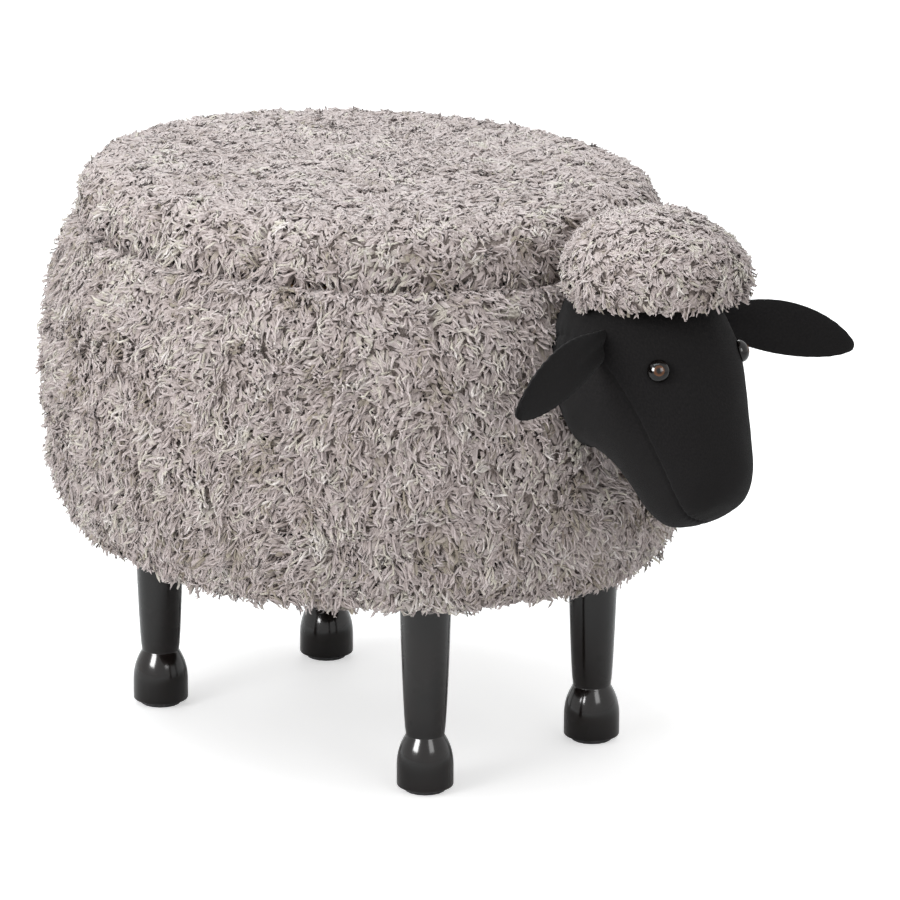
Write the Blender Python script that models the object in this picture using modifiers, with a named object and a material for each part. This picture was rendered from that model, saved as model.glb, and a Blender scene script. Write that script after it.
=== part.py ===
"""Sheep footstool with storage: an oval fleece-covered box on four turned legs, a lift-off padded lid
and a stuffed black head. Metres, +Z up, the head towards +X, the feet on the floor at z = 0."""

import math

import bmesh
import bpy
from mathutils import Matrix, Vector

# Clearance left between pieces that touch
TOUCH_GAP = 0.0003

# Body oval, measured over the pile where the fleece is widest
BODY_LENGTH = 0.472
BODY_WIDTH = 0.407
OVAL_BLUNTNESS = 2.05
OVAL_STEPS = 40

# Turned legs, each at an angle round the body's oval just inside the fleece's hem, all set towards the head
LEG_ANGLE = 36.5
LEG_HEM_CLEARANCE = 0.002
LEGS_SET_FORWARD = 0.0065
LEG_LENGTH = 0.142
LEG_TOP_DIAMETER = 0.0355
LEG_WAIST_DIAMETER = 0.026
LEG_TOP_CHAMFER = 0.001
SHANK_TAPER_POWER = 0.65
HOOF_DIAMETER = 0.0385
HOOF_HEIGHT = 0.036
HOOF_SHOULDER_HEIGHT = 0.013
HOOF_BELL_POWER = 2.3
HOOF_EDGE_ROUND = 0.0012
GLIDE_DIAMETER = 0.029
GLIDE_HEIGHT = 0.003
GLIDE_EDGE_ROUND = 0.001

# Leg fixings
HANGER_BOLT_DIAMETER = 0.008
HANGER_BOLT_DEPTH = 0.032
HANGER_POINT_LENGTH = 0.006
T_NUT_WALL = 0.0011
T_NUT_FLANGE_DIAMETER = 0.022
T_NUT_FLANGE_THICKNESS = 0.0012
T_NUT_BARREL_LENGTH = 0.009

# Box of the body
BASE_BOARD_THICKNESS = 0.012
WALL_HEIGHT = 0.196
WALL_THICKNESS = 0.004
WALL_FOAM_THICKNESS = 0.018
RIM_HOOP_THICKNESS = 0.007
RIM_HOOP_HEIGHT = 0.018
FLOOR_CARD_THICKNESS = 0.002
LINING_THICKNESS = 0.0015
LINING_CORNER = 0.004
DUST_COVER_THICKNESS = 0.001

# Fleece of the body: cloth and pile together
FLEECE_THICKNESS = 0.0177
BELLY_SHARE = 0.45
RIM_DRAW_IN = 0.014
RIM_DRAW_POWER = 2.2
HEM_DRAW_IN = 0.023
HEM_DRAW_POWER = 3
RIM_ROUND = 0.005
HEM_ROUND = 0.009
HEM_FLAT = 0.006
HEM_HANG = 0.009
HEM_TURN = 0.008
HEM_EDGE_THICKNESS = 0.006
FOAM_EDGE_SHARE = 0.35
FOAM_CROWN_POWER = 4

# Lid
LID_SET_IN = 0.0255
LID_SIDE_PILE = 0.0135
LID_TOP_PILE = 0.0145
LID_HEM_THICKNESS = 0.0015
LID_HEM_TURN = 0.018
LID_HEM_ROUND = 0.009
LID_BOARD_THICKNESS = 0.009
LID_FOAM_THICKNESS = 0.022
LID_CROWN = 0.004
LID_SHOULDER_WIDTH = 0.038
LID_SHOULDER_POWER = 2.5
LID_SIDE_SHARE = 0.26
LOCATING_PANEL_THICKNESS = 0.006
LOCATING_PANEL_PLAY = 0.003
LID_SCREW_DIAMETER = 0.004
LID_SCREW_LENGTH = 0.012
LID_SCREW_HEAD_DIAMETER = 0.0076
LID_SCREW_ANGLE = 45.0
LID_SCREW_EDGE = 0.037

# Head, from its flat back to the nose
HEAD_BELOW_RIM = 0.049
HEAD_REACH = 0.1035
HEAD_DROP = 0.094
HEAD_WIDTH = 0.114
HEAD_DEPTH = 0.132
HEAD_BLUNTNESS = 2.25
HEAD_STEPS = 20
HEAD_COVER_THICKNESS = 0.0015
HEAD_BOARD_THICKNESS = 0.009
NOSE_INSIDE_SHARE = 2.3
BACKING_LEFT_BEHIND_HEAD = 0.001
# Each station: share of the reach, share of the drop, pitch in degrees, shares of half width and half depth
HEAD_STATIONS = (
    (0.00, 0.00, 0, 0.79, 0.79),
    (0.17, -0.04, 6, 0.93, 0.955),
    (0.37, 0.00, 22, 1.00, 1.00),
    (0.56, 0.14, 38, 0.98, 0.895),
    (0.715, 0.37, 51, 0.86, 0.727),
    (0.83, 0.61, 58, 0.73, 0.606),
    (0.92, 0.81, 60, 0.64, 0.515),
    (0.975, 0.945, 60, 0.49, 0.38),
    (1.00, 1.00, 60, 0.25, 0.18),
)

# Head fixings
HEAD_BOLT_DIAMETER = 0.006
HEAD_BOLT_SPACING = 0.044
HEAD_BOLTS_BELOW_MIDDLE = 0.012
HEAD_BOLT_HEAD_DIAMETER = 0.012
HEAD_BOLT_HEAD_THICKNESS = 0.004
HEAD_BOLT_HEAD_CHAMFER = 0.0017
WASHER_DIAMETER = 0.016
WASHER_THICKNESS = 0.0015
WASHER_CURVE_ROOM = 0.0009

# Fleece on the poll, an egg that slopes from the nape over the crown to the brow
POLL_HALF_LENGTH = 0.060
POLL_HALF_WIDTH = 0.061
POLL_HALF_HEIGHT = 0.040
POLL_PITCH = 6.0
POLL_RISE = 0.063
LID_PASSING_GAP = 0.002

# Ears
EAR_SPAN = 0.320
EAR_ROOT_DEPTH = 0.012
EAR_ROOT_FORWARD = 0.052
EAR_TIP_FORWARD = 0.084
EAR_ROOT_RISE = 0.027
EAR_TIP_RISE = -0.002
EAR_ARCH = 0.008
EAR_WIDTH = 0.040
EAR_THICKNESS = 0.011
EAR_CUP_SHARE = 0.35
EAR_STEPS = 12
# Each station: share of the length, share of half width, share of half thickness
EAR_STATIONS = (
    (0.00, 0.50, 0.90),
    (0.14, 0.66, 1.00),
    (0.32, 0.90, 0.95),
    (0.50, 1.00, 0.85),
    (0.68, 0.92, 0.75),
    (0.84, 0.68, 0.60),
    (0.95, 0.36, 0.45),
    (1.00, 0.12, 0.25),
)

# Eyes: domed buttons on a shank, each locked by a washer inside the head
EYE_DIAMETER = 0.015
EYE_DOME_HEIGHT = 0.006
EYE_SHANK_DIAMETER = 0.004
EYE_SHANK_LENGTH = 0.009
EYE_WASHER_DIAMETER = 0.011
EYE_WASHER_THICKNESS = 0.001
EYE_WASHER_DEPTH = 0.0032
EYE_STATION = 3.35
EYE_ANGLE = 47.0

# Heights and insets worked out from the sizes above
BOARD_BOTTOM = GLIDE_HEIGHT + LEG_LENGTH + 2 * TOUCH_GAP
BOARD_TOP = BOARD_BOTTOM + BASE_BOARD_THICKNESS
WALL_BOTTOM = BOARD_TOP + TOUCH_GAP
RIM_TOP = WALL_BOTTOM + WALL_HEIGHT
HOOP_BOTTOM = RIM_TOP - RIM_HOOP_HEIGHT
HEM_BOTTOM = BOARD_BOTTOM - HEM_HANG
CARD_BOTTOM = BOARD_TOP + TOUCH_GAP
CARD_TOP = CARD_BOTTOM + FLOOR_CARD_THICKNESS
WALL_INSET = FLEECE_THICKNESS + WALL_FOAM_THICKNESS + TOUCH_GAP
WELL_INSET = WALL_INSET + WALL_THICKNESS
LINING_INSET = WELL_INSET + TOUCH_GAP
LINING_INNER_INSET = LINING_INSET + LINING_THICKNESS
HEM_INNER_INSET = WALL_INSET + HEM_TURN
OVAL_POWER = 2 / OVAL_BLUNTNESS
LEG_INSET = HEM_INNER_INSET + LEG_TOP_DIAMETER / 2 + LEG_HEM_CLEARANCE + LEGS_SET_FORWARD
LEG_TURN = math.radians(LEG_ANGLE)
LEG_SPACING_LENGTH = (BODY_LENGTH - 2 * LEG_INSET) * math.cos(LEG_TURN) ** OVAL_POWER
LEG_SPACING_WIDTH = (BODY_WIDTH - 2 * LEG_INSET) * math.sin(LEG_TURN) ** OVAL_POWER
LID_BOTTOM = RIM_TOP + TOUCH_GAP
LID_BOARD_BOTTOM = LID_BOTTOM + LID_HEM_THICKNESS + TOUCH_GAP
LID_BOARD_TOP = LID_BOARD_BOTTOM + LID_BOARD_THICKNESS
LID_FOAM_BOTTOM = LID_BOARD_TOP + TOUCH_GAP
LID_FOAM_TOP = LID_FOAM_BOTTOM + LID_FOAM_THICKNESS
LID_TOP = LID_FOAM_TOP + TOUCH_GAP + LID_TOP_PILE
LID_BOARD_INSET = LID_SET_IN + LID_SIDE_PILE
PANEL_TOP = LID_BOTTOM - TOUCH_GAP
PANEL_BOTTOM = PANEL_TOP - LOCATING_PANEL_THICKNESS
PANEL_INSET = LINING_INNER_INSET + LOCATING_PANEL_PLAY
LID_SCREW_INSET = PANEL_INSET + LID_SCREW_EDGE
LID_SCREW_TURN = math.radians(LID_SCREW_ANGLE)
LID_SCREW_SPACING_LENGTH = (BODY_LENGTH - 2 * LID_SCREW_INSET) * math.cos(LID_SCREW_TURN) ** OVAL_POWER
LID_SCREW_SPACING_WIDTH = (BODY_WIDTH - 2 * LID_SCREW_INSET) * math.sin(LID_SCREW_TURN) ** OVAL_POWER
HEAD_BACK = BODY_LENGTH / 2 - FLEECE_THICKNESS + BACKING_LEFT_BEHIND_HEAD + TOUCH_GAP
HEAD_BOARD_FRONT = HEAD_BACK + HEAD_BOARD_THICKNESS
HEAD_HEIGHT_ON_WALL = WALL_HEIGHT - HEAD_BELOW_RIM
HEAD_LEVEL = WALL_BOTTOM + HEAD_HEIGHT_ON_WALL
EAR_ROOT_SPACING = HEAD_WIDTH - 2 * EAR_ROOT_DEPTH


def linear(red, green, blue):
    """A screen colour from 0 to 255 as the linear values that a shader takes."""
    parts = (value / 255 for value in (red, green, blue))
    return tuple(p / 12.92 if p <= 0.04045 else ((p + 0.055) / 1.055) ** 2.4 for p in parts)


# Finish: base colour, roughness, metallic
FINISHES = {
    "fleece": (linear(164, 154, 149), 0.95, 0.0),
    "black_cloth": (linear(38, 36, 37), 0.90, 0.0),
    "black_lacquer": (linear(28, 26, 26), 0.25, 0.0),
    "board": (linear(176, 140, 100), 0.80, 0.0),
    "card": (linear(149, 134, 114), 0.85, 0.0),
    "foam": (linear(228, 216, 180), 0.90, 0.0),
    "lining": (linear(70, 66, 64), 0.90, 0.0),
    "filling": (linear(235, 235, 230), 0.95, 0.0),
    "zinc": (linear(190, 190, 185), 0.35, 1.0),
    "eye": (linear(96, 58, 24), 0.10, 0.0),
    "nylon": (linear(60, 60, 62), 0.50, 0.0),
}


def clear_scene():
    for old in list(bpy.data.objects):
        bpy.data.objects.remove(old, do_unlink=True)


def new_collection(name):
    collection = bpy.data.collections.new(name)
    bpy.context.scene.collection.children.link(collection)
    return collection


clear_scene()
PARTS = new_collection("sheep_footstool")
CUTTERS = new_collection("cutters")
CUTTERS.hide_render = True


def new_empty(name, location, parent=None):
    empty = bpy.data.objects.new(name, None)
    empty.location = location
    empty.parent = parent
    PARTS.objects.link(empty)
    return empty


STOOL = new_empty("stool_on_floor", (0, 0, 0))
LID_LIFT = new_empty("lid_lift_axis", (0, 0, RIM_TOP), STOOL)


def make_finish(name, finish):
    colour, roughness, metallic = FINISHES[finish]
    material = bpy.data.materials.new(name)
    material.use_nodes = True
    shader = material.node_tree.nodes["Principled BSDF"]
    shader.inputs["Base Color"].default_value = (*colour, 1.0)
    shader.inputs["Roughness"].default_value = roughness
    shader.inputs["Metallic"].default_value = metallic
    return material


def place(piece, parent, finish):
    """Parents a piece, gives it its own material and shades it smooth."""
    piece.parent = parent
    if parent is LID_LIFT:
        piece.location.z -= RIM_TOP
    piece.data.materials.append(make_finish(piece.name, finish))
    piece.data.shade_smooth()
    piece.data.set_sharp_from_angle(angle=math.radians(40))
    PARTS.objects.link(piece)
    return piece


def solid(name, shape, finish, parent=STOOL):
    mesh = bpy.data.meshes.new(name)
    shape.to_mesh(mesh)
    shape.free()
    return place(bpy.data.objects.new(name, mesh), parent, finish)


def turned(name, profile, finish, location, parent=STOOL, steps=12, ring=False, rotation=(0, 0, 0)):
    """A turned piece: profile points (radius, height) run down the outer side, and a ring's close up."""
    count = len(profile)
    edges = [(i, i + 1) for i in range(count - 1)] + ([(count - 1, 0)] if ring else [])
    mesh = bpy.data.meshes.new(name)
    mesh.from_pydata([(radius, 0, height) for radius, height in profile], edges, [])
    piece = bpy.data.objects.new(name, mesh)
    piece.location = location
    piece.rotation_euler = rotation
    place(piece, parent, finish)
    screw = piece.modifiers.new("turn", "SCREW")
    screw.axis = "Z"
    screw.angle = 2 * math.pi
    screw.steps = screw.render_steps = steps
    screw.use_merge_vertices = True
    screw.merge_threshold = 0.00001
    screw.use_smooth_shade = True
    return piece


def cutter(name, shape):
    mesh = bpy.data.meshes.new(name)
    shape.to_mesh(mesh)
    shape.free()
    tool = bpy.data.objects.new(name, mesh)
    tool.parent = STOOL
    tool.hide_render = True
    tool.display_type = "WIRE"
    CUTTERS.objects.link(tool)
    return tool


def cut(piece, *tools):
    for tool in tools:
        boolean = piece.modifiers.new(tool.name, "BOOLEAN")
        boolean.operation = "DIFFERENCE"
        boolean.solver = "EXACT"
        boolean.object = tool


def drill(name, start, end, diameter, sides=12):
    """A round cutter from one point to another."""
    start, end = Vector(start), Vector(end)
    turn = (end - start).to_track_quat("Z", "Y").to_matrix().to_4x4()
    shape = bmesh.new()
    bmesh.ops.create_cone(
        shape,
        cap_ends=True,
        segments=sides,
        radius1=diameter / 2,
        radius2=diameter / 2,
        depth=(end - start).length,
        matrix=Matrix.Translation((start + end) / 2) @ turn,
    )
    return cutter(name, shape)


def blunt_oval(half_across, half_up, steps, bluntness):
    """Points of a superellipse in its own plane; a bluntness of 2 is an ellipse."""
    points = []
    for step in range(steps):
        angle = 2 * math.pi * step / steps
        across, up = math.cos(angle), math.sin(angle)
        points.append((
            half_across * math.copysign(abs(across) ** (2 / bluntness), across),
            half_up * math.copysign(abs(up) ** (2 / bluntness), up),
        ))
    return points


def body_ring(inset, height):
    """The body's oval, drawn in by an inset, at a height."""
    oval = blunt_oval(BODY_LENGTH / 2 - inset, BODY_WIDTH / 2 - inset, OVAL_STEPS, OVAL_BLUNTNESS)
    return [Vector((x, y, height)) for x, y in oval]


def loft(rings, closed=False):
    """A skin over rings of equal count, capped at its ends; a closed one joins its last ring to its first."""
    shape = bmesh.new()
    loops = [[shape.verts.new(point) for point in ring] for ring in rings]
    count = len(loops[0])
    pairs = list(zip(loops, loops[1:]))
    if closed:
        pairs.append((loops[-1], loops[0]))
    else:
        shape.faces.new(loops[0])
        shape.faces.new(loops[-1])
    for lower, upper in pairs:
        for i in range(count):
            j = (i + 1) % count
            shape.faces.new((lower[i], lower[j], upper[j], upper[i]))
    bmesh.ops.recalc_face_normals(shape, faces=shape.faces)
    return shape


def body_loft(profile, closed=False):
    return loft([body_ring(inset, height) for inset, height in profile], closed)


def oval_plate(inset, bottom, top):
    return body_loft([(inset, bottom), (inset, top)])


def oval_hoop(outer_inset, inner_inset, bottom, top):
    corners = [(outer_inset, bottom), (outer_inset, top), (inner_inset, top), (inner_inset, bottom)]
    return body_loft(corners, closed=True)


def four_places(spacing_length, spacing_width, set_forward=0):
    """Names and places of four like pieces about a point ahead of the body's middle."""
    for end, forward in (("front", 1), ("rear", -1)):
        for side, left in (("left", 1), ("right", -1)):
            yield f"{end}_{side}", set_forward + forward * spacing_length / 2, left * spacing_width / 2


def leg_places():
    return four_places(LEG_SPACING_LENGTH, LEG_SPACING_WIDTH, LEGS_SET_FORWARD)


def leg_profile():
    """From the bolt hole in the top, down the tapered shank and the bell of the hoof."""
    bore = HANGER_BOLT_DIAMETER / 2 + TOUCH_GAP
    bore_end = LEG_LENGTH - HANGER_BOLT_DEPTH - TOUCH_GAP
    top, waist, hoof = LEG_TOP_DIAMETER / 2, LEG_WAIST_DIAMETER / 2, HOOF_DIAMETER / 2
    points = [(0, bore_end), (bore, bore_end), (bore, LEG_LENGTH), (top - LEG_TOP_CHAMFER, LEG_LENGTH)]
    for share in (1.0, 0.75, 0.5, 0.28, 0.1, 0.0):
        height = HOOF_HEIGHT + share * (LEG_LENGTH - LEG_TOP_CHAMFER - HOOF_HEIGHT)
        points.append((waist + (top - waist) * share**SHANK_TAPER_POWER, height))
    for share in (0.15, 0.35, 0.6, 1.0):
        height = HOOF_HEIGHT - share * (HOOF_HEIGHT - HOOF_SHOULDER_HEIGHT)
        points.append((waist + (hoof - waist) * (1 - (1 - share) ** HOOF_BELL_POWER), height))
    points += [(hoof, HOOF_EDGE_ROUND), (hoof - HOOF_EDGE_ROUND, 0), (0, 0)]
    return points


def make_legs():
    for place_name, x, y in leg_places():
        turned(f"leg_{place_name}", leg_profile(), "black_lacquer", (x, y, GLIDE_HEIGHT + TOUCH_GAP), steps=20)
        radius = GLIDE_DIAMETER / 2
        glide = [(0, GLIDE_HEIGHT), (radius, GLIDE_HEIGHT), (radius, GLIDE_EDGE_ROUND)]
        glide += [(radius - GLIDE_EDGE_ROUND, 0), (0, 0)]
        turned(f"glide_{place_name}", glide, "nylon", (x, y, 0), steps=16)


def make_leg_fixings():
    """Each leg screws up into a threaded T-nut in the base board with a hanger bolt."""
    bolt = HANGER_BOLT_DIAMETER / 2
    bolt_end = BOARD_TOP - LEG_LENGTH - GLIDE_HEIGHT - TOUCH_GAP
    point_start = HANGER_POINT_LENGTH - HANGER_BOLT_DEPTH
    bolt_profile = [(0, bolt_end), (bolt, bolt_end), (bolt, point_start), (0, -HANGER_BOLT_DEPTH)]
    bore = bolt + TOUCH_GAP
    barrel = bore + T_NUT_WALL
    flange = T_NUT_FLANGE_DIAMETER / 2
    nut_profile = [
        (bore, T_NUT_FLANGE_THICKNESS), (flange, T_NUT_FLANGE_THICKNESS), (flange, 0), (barrel, 0),
        (barrel, -T_NUT_BARREL_LENGTH), (bore, -T_NUT_BARREL_LENGTH),
    ]
    for place_name, x, y in leg_places():
        leg_top = (x, y, GLIDE_HEIGHT + TOUCH_GAP + LEG_LENGTH)
        turned(f"hanger_bolt_{place_name}", bolt_profile, "zinc", leg_top)
        turned(f"t_nut_{place_name}", nut_profile, "zinc", (x, y, CARD_BOTTOM), ring=True)


def make_box():
    """The stiff carcass: base board, bent wall, rim hoop and the card over the leg nuts."""
    base_board = solid("base_board", oval_plate(WALL_INSET, BOARD_BOTTOM, BOARD_TOP), "board")
    card_inset = WELL_INSET + TOUCH_GAP
    floor_card = solid("floor_card", oval_plate(card_inset, CARD_BOTTOM, CARD_TOP), "card")
    wall = solid("box_wall", oval_hoop(WALL_INSET, WELL_INSET, WALL_BOTTOM, RIM_TOP), "board")
    hoop_inset = WALL_INSET - RIM_HOOP_THICKNESS - TOUCH_GAP
    solid("rim_hoop", oval_hoop(hoop_inset, WALL_INSET - TOUCH_GAP, HOOP_BOTTOM, RIM_TOP), "board")
    barrel = HANGER_BOLT_DIAMETER + 2 * (T_NUT_WALL + 2 * TOUCH_GAP)
    flange = T_NUT_FLANGE_DIAMETER + 2 * TOUCH_GAP
    for place_name, x, y in leg_places():
        below, above = (x, y, BOARD_BOTTOM - BASE_BOARD_THICKNESS), (x, y, CARD_TOP + BASE_BOARD_THICKNESS)
        cut(base_board, drill(f"t_nut_hole_{place_name}", below, above, barrel))
        cut(floor_card, drill(f"t_nut_flange_hole_{place_name}", below, above, flange, sides=16))
    return wall


def make_lining():
    """A cloth bag inside the well, and the dust cover under the base board."""
    floor_bottom = CARD_TOP + TOUCH_GAP
    floor_top = floor_bottom + LINING_THICKNESS
    profile = [
        (LINING_INSET + LINING_CORNER, floor_bottom), (LINING_INSET, floor_bottom + LINING_CORNER),
        (LINING_INSET, RIM_TOP), (LINING_INNER_INSET, RIM_TOP),
        (LINING_INNER_INSET, floor_top + LINING_CORNER), (LINING_INNER_INSET + LINING_CORNER, floor_top),
    ]
    lining = solid("well_lining", body_loft(profile), "lining")
    cover_top = BOARD_BOTTOM - TOUCH_GAP
    cover_plate = oval_plate(HEM_INNER_INSET + TOUCH_GAP, cover_top - DUST_COVER_THICKNESS, cover_top)
    dust_cover = solid("dust_cover", cover_plate, "lining")
    for place_name, x, y in leg_places():
        around_leg = LEG_TOP_DIAMETER + 4 * TOUCH_GAP
        leg_hole = drill(f"leg_hole_{place_name}", (x, y, HEM_BOTTOM), (x, y, BOARD_TOP), around_leg, sides=20)
        cut(dust_cover, leg_hole)
    return lining


def foam_inset(share):
    """Where the wall foam's crowned face lies, at a share of its height."""
    crown = math.sqrt(1 - (2 * share - 1) ** FOAM_CROWN_POWER)
    thickness = WALL_FOAM_THICKNESS * (FOAM_EDGE_SHARE + (1 - FOAM_EDGE_SHARE) * crown)
    return WALL_INSET - TOUCH_GAP - thickness


def foam_face(gap):
    """The wall foam's face from bottom to top, moved out by a gap."""
    foam_top = HOOP_BOTTOM - TOUCH_GAP
    shares = (0.0, 0.04, 0.15, 0.35, 0.65, 0.85, 0.96, 1.0)
    return [(foam_inset(share) - gap, BOARD_BOTTOM + share * (foam_top - BOARD_BOTTOM)) for share in shares]


def make_wall_foam():
    face = foam_face(0)
    inner = WALL_INSET - TOUCH_GAP
    back = [(inner, face[-1][1]), (inner, face[0][1])]
    return solid("wall_foam", body_loft(face + back, closed=True), "foam")


def belly_inset(height):
    """How far the pile lies in from the widest oval: drawn in to the rim above and to the hem below."""
    share = (height - HEM_BOTTOM) / (RIM_TOP - HEM_BOTTOM)
    above = max(0.0, (share - BELLY_SHARE) / (1 - BELLY_SHARE))
    below = max(0.0, (BELLY_SHARE - share) / BELLY_SHARE)
    return RIM_DRAW_IN * above**RIM_DRAW_POWER + HEM_DRAW_IN * below**HEM_DRAW_POWER


def fleece_face():
    """The body's visible pile surface, from under the base board up to the rim."""
    low, high = HEM_BOTTOM + HEM_ROUND, RIM_TOP - RIM_ROUND
    hem_side, rim_side = belly_inset(low), belly_inset(high)
    points = [(hem_side + HEM_ROUND + HEM_FLAT, HEM_BOTTOM)]
    for degrees in (90, 60, 30):
        angle = math.radians(degrees)
        points.append((hem_side + HEM_ROUND * (1 - math.cos(angle)), low - HEM_ROUND * math.sin(angle)))
    for share in (0.0, 0.1, 0.25, 0.42, 0.6, 0.75, 0.88, 1.0):
        height = low + share * (high - low)
        points.append((belly_inset(height), height))
    for degrees in (35, 65, 90):
        angle = math.radians(degrees)
        points.append((rim_side + RIM_ROUND * (1 - math.cos(angle)), high + RIM_ROUND * math.sin(angle)))
    return points


def make_body_fleece():
    hem_top = BOARD_BOTTOM - TOUCH_GAP
    hoop_side = WALL_INSET - RIM_HOOP_THICKNESS - 2 * TOUCH_GAP
    foam_side = foam_face(TOUCH_GAP)
    inner = [(hoop_side, RIM_TOP), (hoop_side, HOOP_BOTTOM)] + foam_side[::-1]
    inner += [(foam_side[0][0], hem_top), (HEM_INNER_INSET, hem_top)]
    inner += [(HEM_INNER_INSET, hem_top - HEM_EDGE_THICKNESS)]
    return solid("body_fleece", body_loft(fleece_face() + inner, closed=True), "fleece")


def lid_dome(edge_inset, bottom, top, shoulder_width, shares=(0.0, 0.09, 0.25, 0.5, 1.0)):
    """A lid surface from the top of its side, over the rounded shoulder, to the crown."""
    side_top = bottom + LID_SIDE_SHARE * (top - bottom)
    shoulder_top = top - LID_CROWN
    points = []
    for share in shares:
        rise = (1 - (1 - share) ** LID_SHOULDER_POWER) ** (1 / LID_SHOULDER_POWER)
        points.append((edge_inset + share * shoulder_width, side_top + rise * (shoulder_top - side_top)))
    shoulder_inset = edge_inset + shoulder_width
    reach = BODY_WIDTH / 2 - shoulder_inset
    for share in (0.35, 0.75):
        points.append((shoulder_inset + share * reach, shoulder_top + LID_CROWN * (1 - (1 - share) ** 2)))
    return points


def make_lid():
    board = solid("lid_board", oval_plate(LID_BOARD_INSET, LID_BOARD_BOTTOM, LID_BOARD_TOP), "board", LID_LIFT)
    foam_shoulder = LID_SHOULDER_WIDTH - LID_SIDE_PILE / 2
    foam_dome = lid_dome(LID_BOARD_INSET, LID_FOAM_BOTTOM, LID_FOAM_TOP, foam_shoulder)
    solid("lid_foam", body_loft([(LID_BOARD_INSET, LID_FOAM_BOTTOM)] + foam_dome), "foam", LID_LIFT)

    hem_inset = LID_BOARD_INSET + LID_HEM_TURN
    hem_top = LID_BOTTOM + LID_HEM_THICKNESS
    inside = [(inset - TOUCH_GAP, height + TOUCH_GAP) for inset, height in foam_dome[::-1]]
    inside += [(LID_BOARD_INSET - TOUCH_GAP, hem_top), (hem_inset, hem_top)]
    outside = [(hem_inset, LID_BOTTOM)]
    for degrees in (90, 45):
        angle = math.radians(degrees)
        inset = LID_SET_IN + LID_HEM_ROUND * (1 - math.cos(angle))
        outside.append((inset, LID_BOTTOM + LID_HEM_ROUND * (1 - math.sin(angle))))
    outside += lid_dome(LID_SET_IN, LID_BOTTOM, LID_TOP, LID_SHOULDER_WIDTH)
    solid("lid_fleece", body_loft(inside + outside), "fleece", LID_LIFT)

    lining = solid("lid_lining", oval_plate(hem_inset + TOUCH_GAP, LID_BOTTOM, hem_top), "lining", LID_LIFT)
    panel = solid("lid_locating_panel", oval_plate(PANEL_INSET, PANEL_BOTTOM, PANEL_TOP), "board", LID_LIFT)
    make_lid_screws(board, lining, panel)


def make_lid_screws(*held):
    """Four countersunk screws that hold the locating panel up to the lid board."""
    shank, head = LID_SCREW_DIAMETER / 2, LID_SCREW_HEAD_DIAMETER / 2
    sink = head - shank
    profile = [(0, LID_SCREW_LENGTH), (shank, LID_SCREW_LENGTH - 2 * shank), (shank, sink), (head, 0), (0, 0)]
    for place_name, x, y in four_places(LID_SCREW_SPACING_LENGTH, LID_SCREW_SPACING_WIDTH):
        turned(f"lid_screw_{place_name}", profile, "zinc", (x, y, PANEL_BOTTOM), LID_LIFT, steps=10)
        below, above = (x, y, PANEL_BOTTOM - sink), (x, y, PANEL_BOTTOM + LID_SCREW_LENGTH + TOUCH_GAP)
        pilot = drill(f"lid_screw_hole_{place_name}", below, above, 2 * (shank + TOUCH_GAP))
        room = bmesh.new()
        bmesh.ops.create_cone(
            room,
            cap_ends=True,
            segments=12,
            radius1=head + 2 * TOUCH_GAP,
            radius2=shank + 2 * TOUCH_GAP,
            depth=sink + 2 * TOUCH_GAP,
            matrix=Matrix.Translation((x, y, PANEL_BOTTOM + sink / 2)),
        )
        for piece in held:
            cut(piece, pilot)
        cut(held[-1], cutter(f"lid_screw_sink_{place_name}", room))


def head_station(number):
    """Centre, up direction, half width and half depth of the head; 3.5 is halfway between two stations."""
    low = min(int(number), len(HEAD_STATIONS) - 2)
    mix = number - low
    pairs = zip(HEAD_STATIONS[low], HEAD_STATIONS[low + 1])
    reach, drop, pitch, wide, deep = (a + (b - a) * mix for a, b in pairs)
    angle = math.radians(pitch)
    centre = Vector((HEAD_BACK + reach * HEAD_REACH, 0, HEAD_LEVEL - drop * HEAD_DROP))
    up = Vector((math.sin(angle), 0, math.cos(angle)))
    return centre, up, wide * HEAD_WIDTH / 2, deep * HEAD_DEPTH / 2


def head_ring(number, outset):
    centre, up, half_width, half_depth = head_station(number)
    oval = blunt_oval(half_width + outset, half_depth + outset, HEAD_STEPS, HEAD_BLUNTNESS)
    return [centre + Vector((0, across, 0)) + up * rise for across, rise in oval]


def head_rings(outset):
    return [head_ring(number, outset) for number in range(len(HEAD_STATIONS))]


def head_cutter(name, outset, back):
    """The head's outer form, carried straight back past the board, for cutting what lies against it."""
    rings = head_rings(outset)
    return cutter(name, loft([[Vector((back, point.y, point.z)) for point in rings[0]]] + rings))


def head_surface(number, degrees):
    """A point of the head's cover and its outward direction, at an angle up from the side, on the left."""
    def at(station, angle):
        centre, up, half_width, half_depth = head_station(station)
        across = half_width * math.cos(angle) ** (2 / HEAD_BLUNTNESS)
        rise = half_depth * math.sin(angle) ** (2 / HEAD_BLUNTNESS)
        return centre + Vector((0, across, 0)) + up * rise

    angle, nudge = math.radians(degrees), 0.02
    along = at(number + nudge, angle) - at(number - nudge, angle)
    around = at(number, angle + nudge) - at(number, angle - nudge)
    return at(number, angle), around.cross(along).normalized()


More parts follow.
